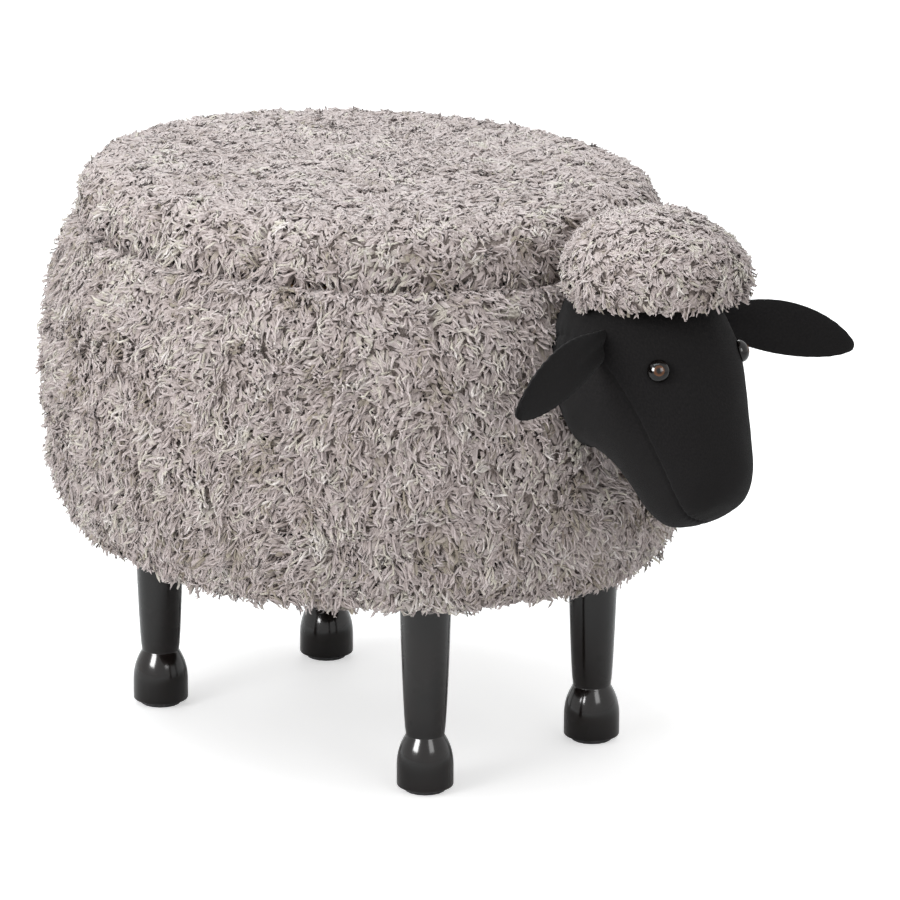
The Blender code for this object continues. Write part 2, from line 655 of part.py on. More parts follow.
def make_head():
    """A black cloth bag over a backing board, stuffed with filling."""
    cover_shape = loft(head_rings(0))
    back = [f for f in cover_shape.faces if all(abs(v.co.x - HEAD_BACK) < TOUCH_GAP for v in f.verts)]
    bmesh.ops.delete(cover_shape, geom=back, context="FACES_ONLY")
    cover = solid("head_cover", cover_shape, "black_cloth")
    wall = cover.modifiers.new("cloth", "SOLIDIFY")
    wall.thickness = HEAD_COVER_THICKNESS
    wall.offset = -1
    wall.use_even_offset = True

    inside = -(HEAD_COVER_THICKNESS + 2 * TOUCH_GAP)
    board_back = head_ring(0, inside)
    board_front = [Vector((HEAD_BOARD_FRONT, p.y, p.z)) for p in board_back]
    board = solid("head_board", loft([board_back, board_front]), "board")
    filling_back = HEAD_BOARD_FRONT + T_NUT_FLANGE_THICKNESS + 2 * TOUCH_GAP
    packed = inside - 2 * TOUCH_GAP
    filling_rings = [[Vector((filling_back, p.y, p.z)) for p in head_ring(0, packed)]]
    filling_rings += [head_ring(number, packed) for number in range(1, 7)]
    filling_rings += [head_ring(number, NOSE_INSIDE_SHARE * inside) for number in (7, 7.5)]
    filling = solid("head_filling", loft(filling_rings), "filling")
    return cover, board, filling


def make_head_fixings(*pierced):
    """Two bolts from inside the well, through the wall and its padding, into T-nuts in the head board."""
    bolt, bolt_head, washer = HEAD_BOLT_DIAMETER / 2, HEAD_BOLT_HEAD_DIAMETER / 2, WASHER_DIAMETER / 2
    room = bolt + TOUCH_GAP
    lining_face = BODY_LENGTH / 2 - LINING_INNER_INSET
    washer_back = lining_face - WASHER_CURVE_ROOM - WASHER_THICKNESS
    bolt_seat = washer_back - TOUCH_GAP
    length = HEAD_BOARD_FRONT - bolt_seat
    bolt_profile = [
        (0, length), (bolt, length), (bolt, 0), (bolt_head, 0),
        (bolt_head, HEAD_BOLT_HEAD_CHAMFER - HEAD_BOLT_HEAD_THICKNESS),
        (bolt_head - HEAD_BOLT_HEAD_CHAMFER, -HEAD_BOLT_HEAD_THICKNESS), (0, -HEAD_BOLT_HEAD_THICKNESS),
    ]
    washer_profile = [(room, WASHER_THICKNESS), (washer, WASHER_THICKNESS), (washer, 0), (room, 0)]
    barrel, flange = room + T_NUT_WALL, T_NUT_FLANGE_DIAMETER / 2
    nut_length = HEAD_BOARD_THICKNESS - 2 * TOUCH_GAP
    nut_profile = [
        (room, T_NUT_FLANGE_THICKNESS), (flange, T_NUT_FLANGE_THICKNESS), (flange, 0), (barrel, 0),
        (barrel, -nut_length), (room, -nut_length),
    ]
    forward = (0, math.pi / 2, 0)
    board = pierced[0]
    for name, rise in (("upper", HEAD_BOLT_SPACING / 2), ("lower", -HEAD_BOLT_SPACING / 2)):
        z = HEAD_LEVEL - HEAD_BOLTS_BELOW_MIDDLE + rise
        turned(f"head_bolt_{name}", bolt_profile, "zinc", (bolt_seat, 0, z), rotation=forward)
        turned(f"head_washer_{name}", washer_profile, "zinc", (washer_back, 0, z), ring=True, rotation=forward)
        nut_place = (HEAD_BOARD_FRONT + TOUCH_GAP, 0, z)
        turned(f"head_t_nut_{name}", nut_profile, "zinc", nut_place, ring=True, rotation=forward)
        clear = drill(f"head_bolt_hole_{name}", (lining_face - WASHER_DIAMETER, 0, z),
                      (HEAD_BACK + TOUCH_GAP, 0, z), 2 * (room + TOUCH_GAP))
        for piece in pierced[1:]:
            cut(piece, clear)
        cut(board, drill(f"head_t_nut_hole_{name}", (HEAD_BACK - HEAD_BOARD_THICKNESS, 0, z),
                         (HEAD_BOARD_FRONT + HEAD_BOARD_THICKNESS, 0, z), 2 * (barrel + TOUCH_GAP)))


def ear_rings(left, outset):
    """The rings of one ear, a leaf that droops outwards and forwards; left is 1 or -1."""
    root = Vector((HEAD_BACK + EAR_ROOT_FORWARD, left * EAR_ROOT_SPACING / 2, HEAD_LEVEL + EAR_ROOT_RISE))
    tip = Vector((HEAD_BACK + EAR_TIP_FORWARD, left * EAR_SPAN / 2, HEAD_LEVEL + EAR_TIP_RISE))
    along = (tip - root).normalized()
    through = Vector((1, 0, 0)) - along * along.x
    through.normalize()
    across = along.cross(through)
    rings = []
    for share, wide, thick in EAR_STATIONS:
        centre = root + (tip - root) * share + Vector((0, 0, 4 * EAR_ARCH * share * (1 - share)))
        half_width, half_thickness = wide * EAR_WIDTH / 2 + outset, thick * EAR_THICKNESS / 2 + outset
        oval = blunt_oval(half_width, half_thickness, EAR_STEPS, 2)
        cup = EAR_CUP_SHARE * half_thickness
        rings.append([centre + across * a + through * (t + cup * (a / half_width) ** 2) for a, t in oval])
    return rings


def make_ears(head_room):
    rooms = []
    for side, left in (("left", 1), ("right", -1)):
        ear = solid(f"ear_{side}", loft(ear_rings(left, 0)), "black_cloth")
        cut(ear, head_room)
        rooms.append(cutter(f"ear_room_{side}", loft(ear_rings(left, 2 * TOUCH_GAP))))
    return rooms


def make_eyes(cover, filling):
    """Each eye sits on the cover with its shank through it, and a lock washer grips the shank inside."""
    dome, shank, washer = EYE_DIAMETER / 2, EYE_SHANK_DIAMETER / 2, EYE_WASHER_DIAMETER / 2
    eye_profile = []
    for degrees in (90, 65, 42, 20, 0):
        angle = math.radians(degrees)
        eye_profile.append((dome * math.cos(angle) if degrees < 90 else 0, EYE_DOME_HEIGHT * math.sin(angle)))
    eye_profile += [(shank, 0), (shank, -EYE_SHANK_LENGTH), (0, -EYE_SHANK_LENGTH)]
    room = shank + TOUCH_GAP
    washer_profile = [(room, 0), (washer, 0), (washer, -EYE_WASHER_THICKNESS), (room, -EYE_WASHER_THICKNESS)]
    for side, left in (("left", 1), ("right", -1)):
        point, outward = head_surface(EYE_STATION, EYE_ANGLE)
        point.y, outward.y = left * point.y, left * outward.y
        seat = point + outward * TOUCH_GAP
        turn = outward.to_track_quat("Z", "Y").to_euler()
        turned(f"eye_{side}", eye_profile, "eye", seat, steps=18, rotation=turn)
        washer_seat = point - outward * EYE_WASHER_DEPTH
        turned(f"eye_washer_{side}", washer_profile, "nylon", washer_seat, ring=True, rotation=turn)
        deep = point - outward * (EYE_SHANK_LENGTH + TOUCH_GAP)
        cut(cover, drill(f"eye_hole_{side}", deep, point + outward * dome, 2 * (room + TOUCH_GAP)))
        washer_room = drill(
            f"eye_washer_room_{side}", deep, point + outward * dome, EYE_WASHER_DIAMETER + 2 * TOUCH_GAP
        )
        cut(filling, washer_room)


def make_poll_fleece(head_room, ear_rooms):
    """Wool over the crown and nape: an egg, less the head, the ears and the body behind it."""
    pitch = math.radians(POLL_PITCH)
    half_reach = math.hypot(POLL_HALF_LENGTH * math.cos(pitch), POLL_HALF_HEIGHT * math.sin(pitch))
    back = BODY_LENGTH / 2 - LID_SET_IN + LID_PASSING_GAP
    centre = Vector((back + half_reach, 0, HEAD_LEVEL + POLL_RISE))
    shape = bmesh.new()
    bmesh.ops.create_uvsphere(shape, u_segments=20, v_segments=12, radius=1)
    size = Matrix.Diagonal((POLL_HALF_LENGTH, POLL_HALF_WIDTH, POLL_HALF_HEIGHT, 1))
    turn = Matrix.Rotation(pitch, 4, "Y")
    bmesh.ops.transform(shape, matrix=Matrix.Translation(centre) @ turn @ size, verts=shape.verts)
    poll = solid("poll_fleece", shape, "fleece")
    body = [(inset - 2 * TOUCH_GAP, height) for inset, height in fleece_face()]
    cut(poll, head_room, cutter("body_room", body_loft(body)), *ear_rooms)
    return poll


def stand_in_middle():
    """Moves the stool along X until the middle of its whole length is over the origin."""
    bpy.context.view_layer.update()
    graph = bpy.context.evaluated_depsgraph_get()
    ends = []
    for piece in PARTS.objects:
        if piece.type == "MESH":
            shaped = piece.evaluated_get(graph)
            ends += [(shaped.matrix_world @ Vector(corner)).x for corner in shaped.bound_box]
    STOOL.location.x -= (min(ends) + max(ends)) / 2
    bpy.context.view_layer.update()


def main():
    make_legs()
    make_leg_fixings()
    wall = make_box()
    lining = make_lining()
    foam = make_wall_foam()
    body_fleece = make_body_fleece()
    make_lid()
    cover, board, filling = make_head()
    head_room = head_cutter("head_room", 2 * TOUCH_GAP, HEAD_BACK - TOUCH_GAP)
    cut(body_fleece, head_room)
    make_head_fixings(board, lining, wall, foam, body_fleece)
    neck_room = head_cutter("head_room_for_poll", 2 * TOUCH_GAP, HEAD_BACK - FLEECE_THICKNESS)
    ear_rooms = make_ears(neck_room)
    make_eyes(cover, filling)
    make_poll_fleece(neck_room, ear_rooms)
    stand_in_middle()


main()
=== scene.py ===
"""The looks of the sheep footstool: its long curly fleece, black cloth head, lacquered legs and storage well."""

import math

import bmesh
import bpy
import numpy as np
from mathutils import Matrix, Vector, noise
from mathutils.bvhtree import BVHTree
from mathutils.kdtree import KDTree


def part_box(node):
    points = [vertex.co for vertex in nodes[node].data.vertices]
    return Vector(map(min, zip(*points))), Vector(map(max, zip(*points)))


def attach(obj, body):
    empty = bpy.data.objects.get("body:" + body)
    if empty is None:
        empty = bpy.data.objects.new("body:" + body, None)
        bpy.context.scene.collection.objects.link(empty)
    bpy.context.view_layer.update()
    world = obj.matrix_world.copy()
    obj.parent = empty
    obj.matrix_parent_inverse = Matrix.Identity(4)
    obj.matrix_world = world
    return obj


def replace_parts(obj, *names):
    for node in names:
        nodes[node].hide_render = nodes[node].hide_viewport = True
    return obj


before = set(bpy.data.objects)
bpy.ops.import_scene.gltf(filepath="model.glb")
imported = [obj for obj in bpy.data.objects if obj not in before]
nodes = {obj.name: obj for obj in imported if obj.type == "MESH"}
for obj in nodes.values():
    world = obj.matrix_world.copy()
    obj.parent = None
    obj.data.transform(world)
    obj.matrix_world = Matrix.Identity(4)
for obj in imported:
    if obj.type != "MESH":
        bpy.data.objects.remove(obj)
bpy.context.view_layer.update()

TAU = 2 * math.pi


def middle_and_half(node):
    low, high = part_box(node)
    return (low + high) / 2, (high - low) / 2


CLEAR = 0.0003  # between parts that touch
HEAD_OVER_BOLTS = 0.012

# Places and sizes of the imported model
WALL_MIDDLE, WALL_HALF = middle_and_half("box_wall")
BODY_MIDDLE, BODY_HALF = middle_and_half("body_fleece")
LID_MIDDLE, LID_HALF = middle_and_half("lid_fleece")
BODY_X = WALL_MIDDLE.x
RIM_TOP = WALL_MIDDLE.z + WALL_HALF.z
HEM_BOTTOM = BODY_MIDDLE.z - BODY_HALF.z
BOARD_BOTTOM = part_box("base_board")[0].z
LID_BOTTOM = LID_MIDDLE.z - LID_HALF.z
LID_TOP = LID_MIDDLE.z + LID_HALF.z
WALL_INSET = BODY_HALF.x - WALL_HALF.x
HOOP_SIDE = BODY_HALF.x - middle_and_half("rim_hoop")[1].x
HEAD_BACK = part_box("head_cover")[0].x
HEAD_LEVEL = (middle_and_half("head_bolt_upper")[0].z + middle_and_half("head_bolt_lower")[0].z) / 2 + HEAD_OVER_BOLTS
LEGS = [name for name in nodes if name.startswith("leg_")]
LEGS_MIDDLE = sum(middle_and_half(name)[0].x for name in LEGS) / len(LEGS)
BODY_BLUNTNESS = 2.05


# Nodes and objects

def fill(node, inputs):
    """Gives each named input a value, or another node's output."""
    for name, value in inputs.items():
        if isinstance(value, bpy.types.NodeSocket):
            node.id_data.links.new(value, node.inputs[name])
        else:
            node.inputs[name].default_value = value
    return node


def add_node(tree, kind, inputs=None, **settings):
    """A shader node with its settings and inputs."""
    node = tree.nodes.new("ShaderNode" + kind)
    for name, value in settings.items():
        setattr(node, name, value)
    return fill(node, inputs or {})


def maths(tree, operation, first, second):
    return add_node(tree, "Math", {0: first, 1: second}, operation=operation).outputs[0]


def plain_material(name, colour, roughness, inputs=None):
    material = bpy.data.materials.new(name)
    material.use_nodes = True
    shader = material.node_tree.nodes["Principled BSDF"]
    fill(shader, {"Base Color": colour, "Roughness": roughness, **(inputs or {})})
    return material, material.node_tree, shader


def add_object(name, data):
    thing = bpy.data.objects.new(name, data)
    bpy.context.scene.collection.objects.link(thing)
    return thing


def mesh_from(name, shape):
    mesh = bpy.data.meshes.new(name)
    shape.to_mesh(mesh)
    shape.free()
    return mesh


# Camera and studio

AIM = Vector((LEGS_MIDDLE, 0, 0.2))
AZIMUTH, ELEVATION = math.radians(46.33), math.radians(15.12)
CAMERA_DISTANCE, LENS, LENS_SHIFT = 4.0, 231.6, (0.0844, -0.0067)
LAMP_HEIGHT = 0.9
WORLD_LIGHT, FLOOR_GLOW = 0.64, 0.54
WHITE = (1, 1, 1, 1)


def face(holder, place, direction):
    """Puts a camera or lamp at a place, turned to look in a direction."""
    holder.location = place
    holder.rotation_mode = "QUATERNION"
    holder.rotation_quaternion = direction.to_track_quat("-Z", "Y")
    return holder


def make_camera():
    level = math.cos(ELEVATION)
    back = Vector((math.sin(AZIMUTH) * level, -math.cos(AZIMUTH) * level, math.sin(ELEVATION)))
    lens = bpy.data.cameras.new("camera")
    lens.lens, lens.sensor_width = LENS, 36
    lens.shift_x, lens.shift_y = LENS_SHIFT
    lens.clip_start, lens.clip_end = 0.1, 60
    bpy.context.scene.camera = face(add_object("camera", lens), AIM + back * CAMERA_DISTANCE, -back)


def soft_box(name, place, width, height, power, colour=(1, 1, 1)):
    """A soft lamp aimed at the stool's middle."""
    lamp = bpy.data.lights.new(name, "AREA")
    lamp.shape = "RECTANGLE"
    lamp.size, lamp.size_y = width, height
    lamp.energy, lamp.color = power, colour
    return face(add_object(name, lamp), place, AIM - Vector(place))


def make_studio():
    soft_box("lamp_above", (-0.30, -0.30, 2.3), 1.6, 1.6, 34, (0.90, 0.98, 1.0))
    # The lacquer shows two upright lamps: each is one lamp for the light and, just ahead of it, one for the shine.
    for side, place, width, light, shine in (
        ("left", (0.03, -1.90, 1.14), 0.80, 9, 66),
        ("right", (1.87, -0.45, 1.16), 0.72, 4, 12),
    ):
        soft_box("lamp_" + side, place, width, LAMP_HEIGHT, light).visible_glossy = False
        ahead = Vector(place).lerp(AIM, 0.03)
        soft_box("shine_" + side, ahead, width, LAMP_HEIGHT, shine).visible_diffuse = False
    soft_box("lamp_front", (-0.45, -2.20, 0.55), 1.2, 1.2, 10).visible_glossy = False
    soft_box("lamp_behind", (-1.6, 1.5, 1.6), 1.0, 1.0, 8)

    # The world lights the stool at one strength, and is white to the eye and in what it mirrors.
    world = bpy.data.worlds.new("studio")
    world.use_nodes = True
    bpy.context.scene.world = world
    tree = world.node_tree
    tree.nodes.clear()
    rays = add_node(tree, "LightPath").outputs
    seen = maths(tree, "MAXIMUM", rays["Is Camera Ray"], rays["Is Glossy Ray"])
    clear = maths(tree, "MAXIMUM", seen, rays["Is Transmission Ray"])
    lit, white = (
        add_node(tree, "Background", {"Color": WHITE, "Strength": strength}).outputs[0]
        for strength in (WORLD_LIGHT, 1.0)
    )
    pick = add_node(tree, "MixShader", {0: clear, 1: lit, 2: white})
    add_node(tree, "OutputWorld", {"Surface": pick.outputs[0]})

    shape = bmesh.new()
    bmesh.ops.create_circle(shape, cap_ends=True, segments=96, radius=9.0)
    floor = add_object("floor", mesh_from("floor", shape))
    paper, tree, shader = plain_material("floor_paper", (0.82, 0.82, 0.82, 1), 0.9)
    glow = maths(tree, "MULTIPLY", add_node(tree, "LightPath").outputs["Is Camera Ray"], FLOOR_GLOW)
    fill(shader, {"Specular IOR Level": 0.0, "Emission Color": WHITE, "Emission Strength": glow})
    floor.data.materials.append(paper)

    bpy.context.scene.view_settings.view_transform = "Standard"


make_camera()
make_studio()


# Materials

def linear(red, green, blue):
    """A screen colour from 0 to 255 as the linear values that a shader takes."""
    parts = (value / 255 for value in (red, green, blue))
    return tuple(p / 12.92 if p <= 0.04045 else ((p + 0.055) / 1.055) ** 2.4 for p in parts) + (1.0,)


def grey(value):
    return (value, value, value, 1)


def screen_stops(*rows):
    """Stops of a ramp from rows of a place and a screen colour."""
    return [(place, linear(*colour)) for place, *colour in rows]


def ramp(tree, factor, *stops):
    node = add_node(tree, "ValToRGB", {"Fac": factor})
    elements = node.color_ramp.elements
    while len(elements) < len(stops):
        elements.new(0.5)
    for element, (place, colour) in zip(elements, stops):
        element.position, element.color = place, colour
    return node.outputs["Color"]


def multiply(tree, first, second):
    inputs = {"Factor": 1.0, 6: first, 7: second}
    return add_node(tree, "Mix", inputs, data_type="RGBA", blend_type="MULTIPLY").outputs[2]


def object_noise(tree, scale, detail=2.0, roughness=0.5, stretch=(1, 1, 1)):
    place = add_node(tree, "TexCoord").outputs["Object"]
    stretched = add_node(tree, "Mapping", {"Vector": place, "Scale": stretch}).outputs["Vector"]
    inputs = {"Vector": stretched, "Scale": scale, "Detail": detail, "Roughness": roughness}
    return add_node(tree, "TexNoise", inputs).outputs["Fac"]


def bump_into(shader, height, strength, distance):
    bump = add_node(shader.id_data, "Bump", {"Strength": strength, "Distance": distance, "Height": height})
    fill(shader, {"Normal": bump.outputs["Normal"]})


def mottled_material(name, colour, roughness, spots, stops, bump=None, bump_spots=None, rough=None, inputs=None):
    """A colour that follows a noise, as do the roughness and the bump. Spots are a noise's values."""
    material, tree, shader = plain_material(name, colour, roughness, inputs)
    fill(shader, {"Base Color": ramp(tree, object_noise(tree, *spots), *screen_stops(*stops))})
    if rough:
        rough_spots, *rough_stops = rough
        fill(shader, {"Roughness": ramp(tree, object_noise(tree, *rough_spots), *rough_stops)})
    if bump:
        bump_into(shader, object_noise(tree, *(bump_spots or spots)), *bump)
    return material


LOCK_TINTS = 64


def fleece_material():
    """Long pile read from each lock's own map: u picks the lock's tint, v runs from its root to its tip, along which a
    painted shade darkens the lock towards its root.
    """
    material, tree, shader = plain_material(
        "fleece", linear(205, 196, 190), 0.85, {"Specular IOR Level": 0.2, "Sheen Weight": 0.2, "Sheen Roughness": 0.4}
    )
    lock_map = add_node(tree, "UVMap", uv_map="OFBake").outputs["UV"]
    split = add_node(tree, "SeparateXYZ", {0: lock_map}).outputs
    tint = ramp(tree, split["X"], *screen_stops(
        (0.00, 152, 139, 131), (0.14, 176, 167, 152), (0.30, 192, 180, 177), (0.52, 205, 193, 191),
        (0.68, 212, 201, 200), (0.84, 213, 207, 194), (1.00, 230, 223, 220),
    ))
    # Painted shade: this ramp along each lock darkens it towards its root, standing in for the shade between the
    # locks.
    depth = ramp(
        tree, split["Y"],
        (0.00, (0.46, 0.43, 0.41, 1)), (0.30, (0.78, 0.76, 0.745, 1)), (0.60, (0.93, 0.92, 0.915, 1)), (1.00, WHITE),
    )
    stretch = add_node(tree, "Mapping", {"Vector": lock_map, "Scale": (LOCK_TINTS * 6, 2.2, 1)})
    inputs = {"Vector": stretch.outputs["Vector"], "Scale": 1.0, "Detail": 2.0}
    strands = add_node(tree, "TexNoise", inputs, noise_dimensions="2D")
    streak = ramp(tree, strands.outputs["Fac"], (0.30, (0.80, 0.79, 0.78, 1)), (0.62, WHITE))
    fill(shader, {"Base Color": multiply(tree, multiply(tree, tint, depth), streak)})
    return material


def cloth_group():
    """Plain woven cloth on a map in metres, with slubs and lint: a mask for the colour and a height."""
    group = bpy.data.node_groups.new("cloth_weave", "ShaderNodeTree")
    for name, way, kind in (
        ("Map", "INPUT", "Vector"), ("Threads", "INPUT", "Float"),
        ("Mask", "OUTPUT", "Float"), ("Height", "OUTPUT", "Float"),
    ):
        group.interface.new_socket(name, in_out=way, socket_type="NodeSocket" + kind)
    given = group.nodes.new("NodeGroupInput").outputs
    inputs = {"Vector": given["Map"], "Scale": given["Threads"], "Distortion": 0.6, "Detail": 1.0}
    waves = [add_node(group, "TexWave", inputs, bands_direction=way).outputs["Fac"] for way in "XY"]
    slub = add_node(group, "TexNoise", {"Vector": given["Map"], "Scale": 700, "Detail": 4.0}).outputs["Fac"]
    height = maths(group, "ADD", maths(group, "MULTIPLY", *waves), slub)
    fill(group.nodes.new("NodeGroupOutput"), {"Mask": slub, "Height": height})
    return group


CLOTH_WEAVE = cloth_group()


def cloth_material(name, dark, light, threads):
    """Woven cloth on the piece's own map in metres."""
    inputs = {"Sheen Weight": 0.04, "Sheen Roughness": 0.5, "Specular IOR Level": 0.15}
    material, tree, shader = plain_material(name, dark, 0.92, inputs)
    piece_map = add_node(tree, "UVMap", uv_map="UVMap").outputs["UV"]
    inputs = {"Map": piece_map, "Threads": threads}
    weave = add_node(tree, "Group", inputs, node_tree=CLOTH_WEAVE).outputs
    fill(shader, {"Base Color": ramp(tree, weave["Mask"], (0.35, dark), (0.72, light))})
    bump_into(shader, weave["Height"], 0.35, 0.0004)
    return material


def board_material(name, dark, light, stretch):
    stops = (0.32, *dark), (0.68, *light)
    return mottled_material(name, linear(*light), 0.7, (30, 6, 0.6, stretch), stops, bump=(0.25, 0.0006))


EYE_RADIUS, EYE_DOME = 0.0075, 0.006


def eye_material():
    """A domed brown eye with a dark pupil, read from the piece's map, whose length runs out from the middle."""
    inputs = {"Specular IOR Level": 0.3, "Coat Weight": 0.3, "Coat Roughness": 0.03}
    material, tree, shader = plain_material("eye", linear(92, 56, 30), 0.12, inputs)
    piece_map = add_node(tree, "UVMap", uv_map="UVMap").outputs["UV"]
    size = add_node(tree, "Mapping", {"Vector": piece_map, "Scale": (1 / EYE_RADIUS, 1 / EYE_RADIUS, 1)})
    out = add_node(tree, "SeparateXYZ", {0: size.outputs["Vector"]}).outputs["Y"]
    rings = ramp(tree, out, *screen_stops(
        (0.00, 8, 7, 7), (0.40, 8, 7, 7), (0.46, 74, 42, 20),
        (0.80, 104, 64, 32), (0.92, 40, 24, 14), (1.00, 14, 11, 10),
    ))
    threads = ramp(tree, object_noise(tree, 1500, 3), (0.35, (0.72, 0.68, 0.62, 1)), (0.65, WHITE))
    fill(shader, {"Base Color": multiply(tree, rings, threads)})
    return material


FLEECE = fleece_material()
# The backing under the locks: a real fabric, but painted darker than the locks as painted shade in the gaps between
# them.
PELT_PAINTED_SHADE = mottled_material(
    "fleece_backing_painted_shade", linear(150, 140, 134), 0.95, (260,), ((0.3, 118, 106, 101), (0.7, 166, 154, 148)),
    bump=(0.8, 0.002), bump_spots=(420, 4),
)
LACQUER = mottled_material(
    "black_lacquer", linear(26, 24, 24), 0.28, (40, 3), ((0.35, 14, 10, 9), (0.7, 22, 16, 14)),
    bump=(0.03, 0.001), bump_spots=(90, 1), rough=((25, 3), (0.3, grey(0.2)), (0.75, grey(0.36))),
    inputs={"Specular IOR Level": 0.06, "Coat Weight": 0.85, "Coat Roughness": 0.14},
)
HEAD_CLOTH = cloth_material("black_cloth", linear(15, 13, 14), linear(24, 22, 22), 600)
LINING_CLOTH = cloth_material("lining_cloth", linear(62, 58, 56), linear(78, 74, 71), 380)
FIBREBOARD = board_material("fibreboard", (150, 112, 74), (182, 144, 104), (1, 1, 1.6))
PLYWOOD = board_material("plywood", (172, 132, 88), (206, 170, 124), (0.5, 9, 9))
CARD = mottled_material(
    "card", linear(149, 134, 115), 0.9, (900, 5, 0.7), ((0.35, 128, 113, 95), (0.65, 162, 147, 127)),
    bump=(0.3, 0.0003),
)
ZINC = mottled_material(
    "zinc", linear(188, 188, 183), 0.35, (700, 2), ((0.3, 165, 166, 163), (0.7, 204, 203, 196)),
    rough=((700, 2), (0.3, grey(0.28)), (0.7, grey(0.45))), inputs={"Metallic": 1.0},
)
NYLON = mottled_material(
    "nylon", linear(60, 60, 62), 0.5, (300, 4, 0.6), ((0.4, 54, 54, 56), (0.7, 72, 72, 74)),
    bump=(0.15, 0.0003),
)
EYE = eye_material()


# Pieces

def finish_piece(name, mesh, material, body="stool"):
    piece = add_object(name, mesh)
    mesh.materials.append(material)
    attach(piece, body)
    return piece


def piece_from(name, shape, material, body="stool"):
    mesh = mesh_from(name, shape)
    mesh.shade_smooth()
    return finish_piece(name, mesh, material, body)


def even_steps(count, marks=()):
    """Shares from 0 to 1, evenly stepped, with extra ones close round each mark."""
    steps = list(np.linspace(0, 1, count + 1))
    for mark, spread in marks:
        steps = [s for s in steps if abs(s - mark) > 2.4 * spread]
        steps += [mark + spread * k for k in (-2.0, -1.3, -0.75, -0.35, 0.0, 0.35, 0.75, 1.3, 2.0)]
    return np.array(sorted(steps))


def wrapped_grid(point_of, turns, alongs, size=(1.0, 1.0)):
    """A grid rolled round a form: point_of takes shares round and along it and gives points. The map that the
    piece carries is the grid laid flat at its size in metres."""
    shape = bmesh.new()
    flat_map = shape.loops.layers.uv.new("UVMap")
    bmesh.ops.create_grid(shape, x_segments=len(turns) - 1, y_segments=len(alongs) - 1, size=0.5)
    flat = np.array([vert.co for vert in shape.verts])
    turn = turns[np.rint((flat[:, 0] + 0.5) * (len(turns) - 1)).astype(int)]
    along = alongs[np.rint((flat[:, 1] + 0.5) * (len(alongs) - 1)).astype(int)]
    shape.verts.index_update()
    for face in shape.faces:
        for loop in face.loops:
            number = loop.vert.index
            loop[flat_map].uv = (turn[number] * size[0], along[number] * size[1])
    for vert, place in zip(shape.verts, point_of(turn, along)):
        vert.co = place
    bmesh.ops.remove_doubles(shape, verts=shape.verts, dist=1e-6)
    bmesh.ops.dissolve_degenerate(shape, edges=shape.edges, dist=1e-6)
    bmesh.ops.holes_fill(shape, edges=[edge for edge in shape.edges if edge.is_boundary])
    bmesh.ops.recalc_face_normals(shape, faces=shape.faces)
    return shape


def smooth_track(rows, count, sizes):
    """Rows of numbers resampled along a smooth curve through them. Columns from sizes on never fall below 0."""
    rows = np.array(rows, float)
    places = np.linspace(0, len(rows) - 1, count)
    low = np.minimum(places.astype(int), len(rows) - 2)
    mix = (places - low)[:, None]
    slopes = np.gradient(rows, axis=0)
    start, end, rise, fall = rows[low], rows[low + 1], slopes[low], slopes[low + 1]
    track = (
        (2 * mix**3 - 3 * mix**2 + 1) * start + (mix**3 - 2 * mix**2 + mix) * rise
        + (3 * mix**2 - 2 * mix**3) * end + (mix**3 - mix**2) * fall
    )
    track[:, sizes:] = np.maximum(track[:, sizes:], 0)
    return track


def rows_at(rows, along):
    """The columns of evenly spaced rows at shares of the way along them."""
    reach, steps = along * (len(rows) - 1), np.arange(len(rows))
    return [np.interp(reach, steps, column) for column in rows.T]


def clamp(values):
    return np.clip(values, 0, 1)


def unit(vectors):
    return vectors / np.maximum(np.linalg.norm(vectors, axis=-1, keepdims=True), 1e-12)


def blunt_oval(turn, half_x, half_y, bluntness):
    """x and y at shares of the way round an oval, an ellipse where its bluntness is 2."""
    cos, sin = np.cos(TAU * turn), np.sin(TAU * turn)
    power = 2 / bluntness
    return half_x * (np.sign(cos) * np.abs(cos) ** power), half_y * (np.sign(sin) * np.abs(sin) ** power)


def placed(x, y, z, place):
    """Points moved by a 4 x 4 matrix."""
    return (np.stack((x, y, z, np.ones_like(x)), axis=1) @ np.array(place).T)[:, :3]


class Form:
    """A closed round surface: at(turn, along) gives its points at shares of the way round and along."""

    def axes(self, turn, along):
        """Outward, downward and sideways unit vectors of the surface."""
        small = 0.003
        side = self.at(turn + small, along) - self.at(turn - small, along)
        low, high = clamp(along - small), clamp(along + small)
        up = self.at(turn, high) - self.at(turn, low)
        out = unit(np.cross(side, up))
        down = unit(-up)
        return out, down, np.cross(out, down)

    def sunk(self, depth, seed):
        """The lumpy surface moved in by a depth, as a function for a rolled grid."""
        def point_of(turn, along):
            points = self.at(turn, along)
            return points + self.axes(turn, along)[0] * (lumps(points, seed) - depth)[:, None]
        return point_of

    def scatter(self, spacing, chance):
        """Shares round and along of points about a spacing apart."""
        turns, alongs = [], []
        fine = np.linspace(0, 1, 721)
        for row in np.arange(spacing / 2, self.length, spacing) / self.length:
            ring = self.at(fine, np.full_like(fine, row))
            run = np.concatenate(([0], np.cumsum(np.linalg.norm(np.diff(ring, axis=0), axis=1))))
            count = max(1, round(run[-1] / spacing))
            wanted = (np.arange(count) + chance.random() + chance.uniform(-0.45, 0.45, count)) / count % 1
            turns.append(np.interp(wanted * run[-1], run, fine))
            alongs.append(row + chance.uniform(-0.5, 0.5, count) * spacing / self.length)
        return np.concatenate(turns), clamp(np.concatenate(alongs))


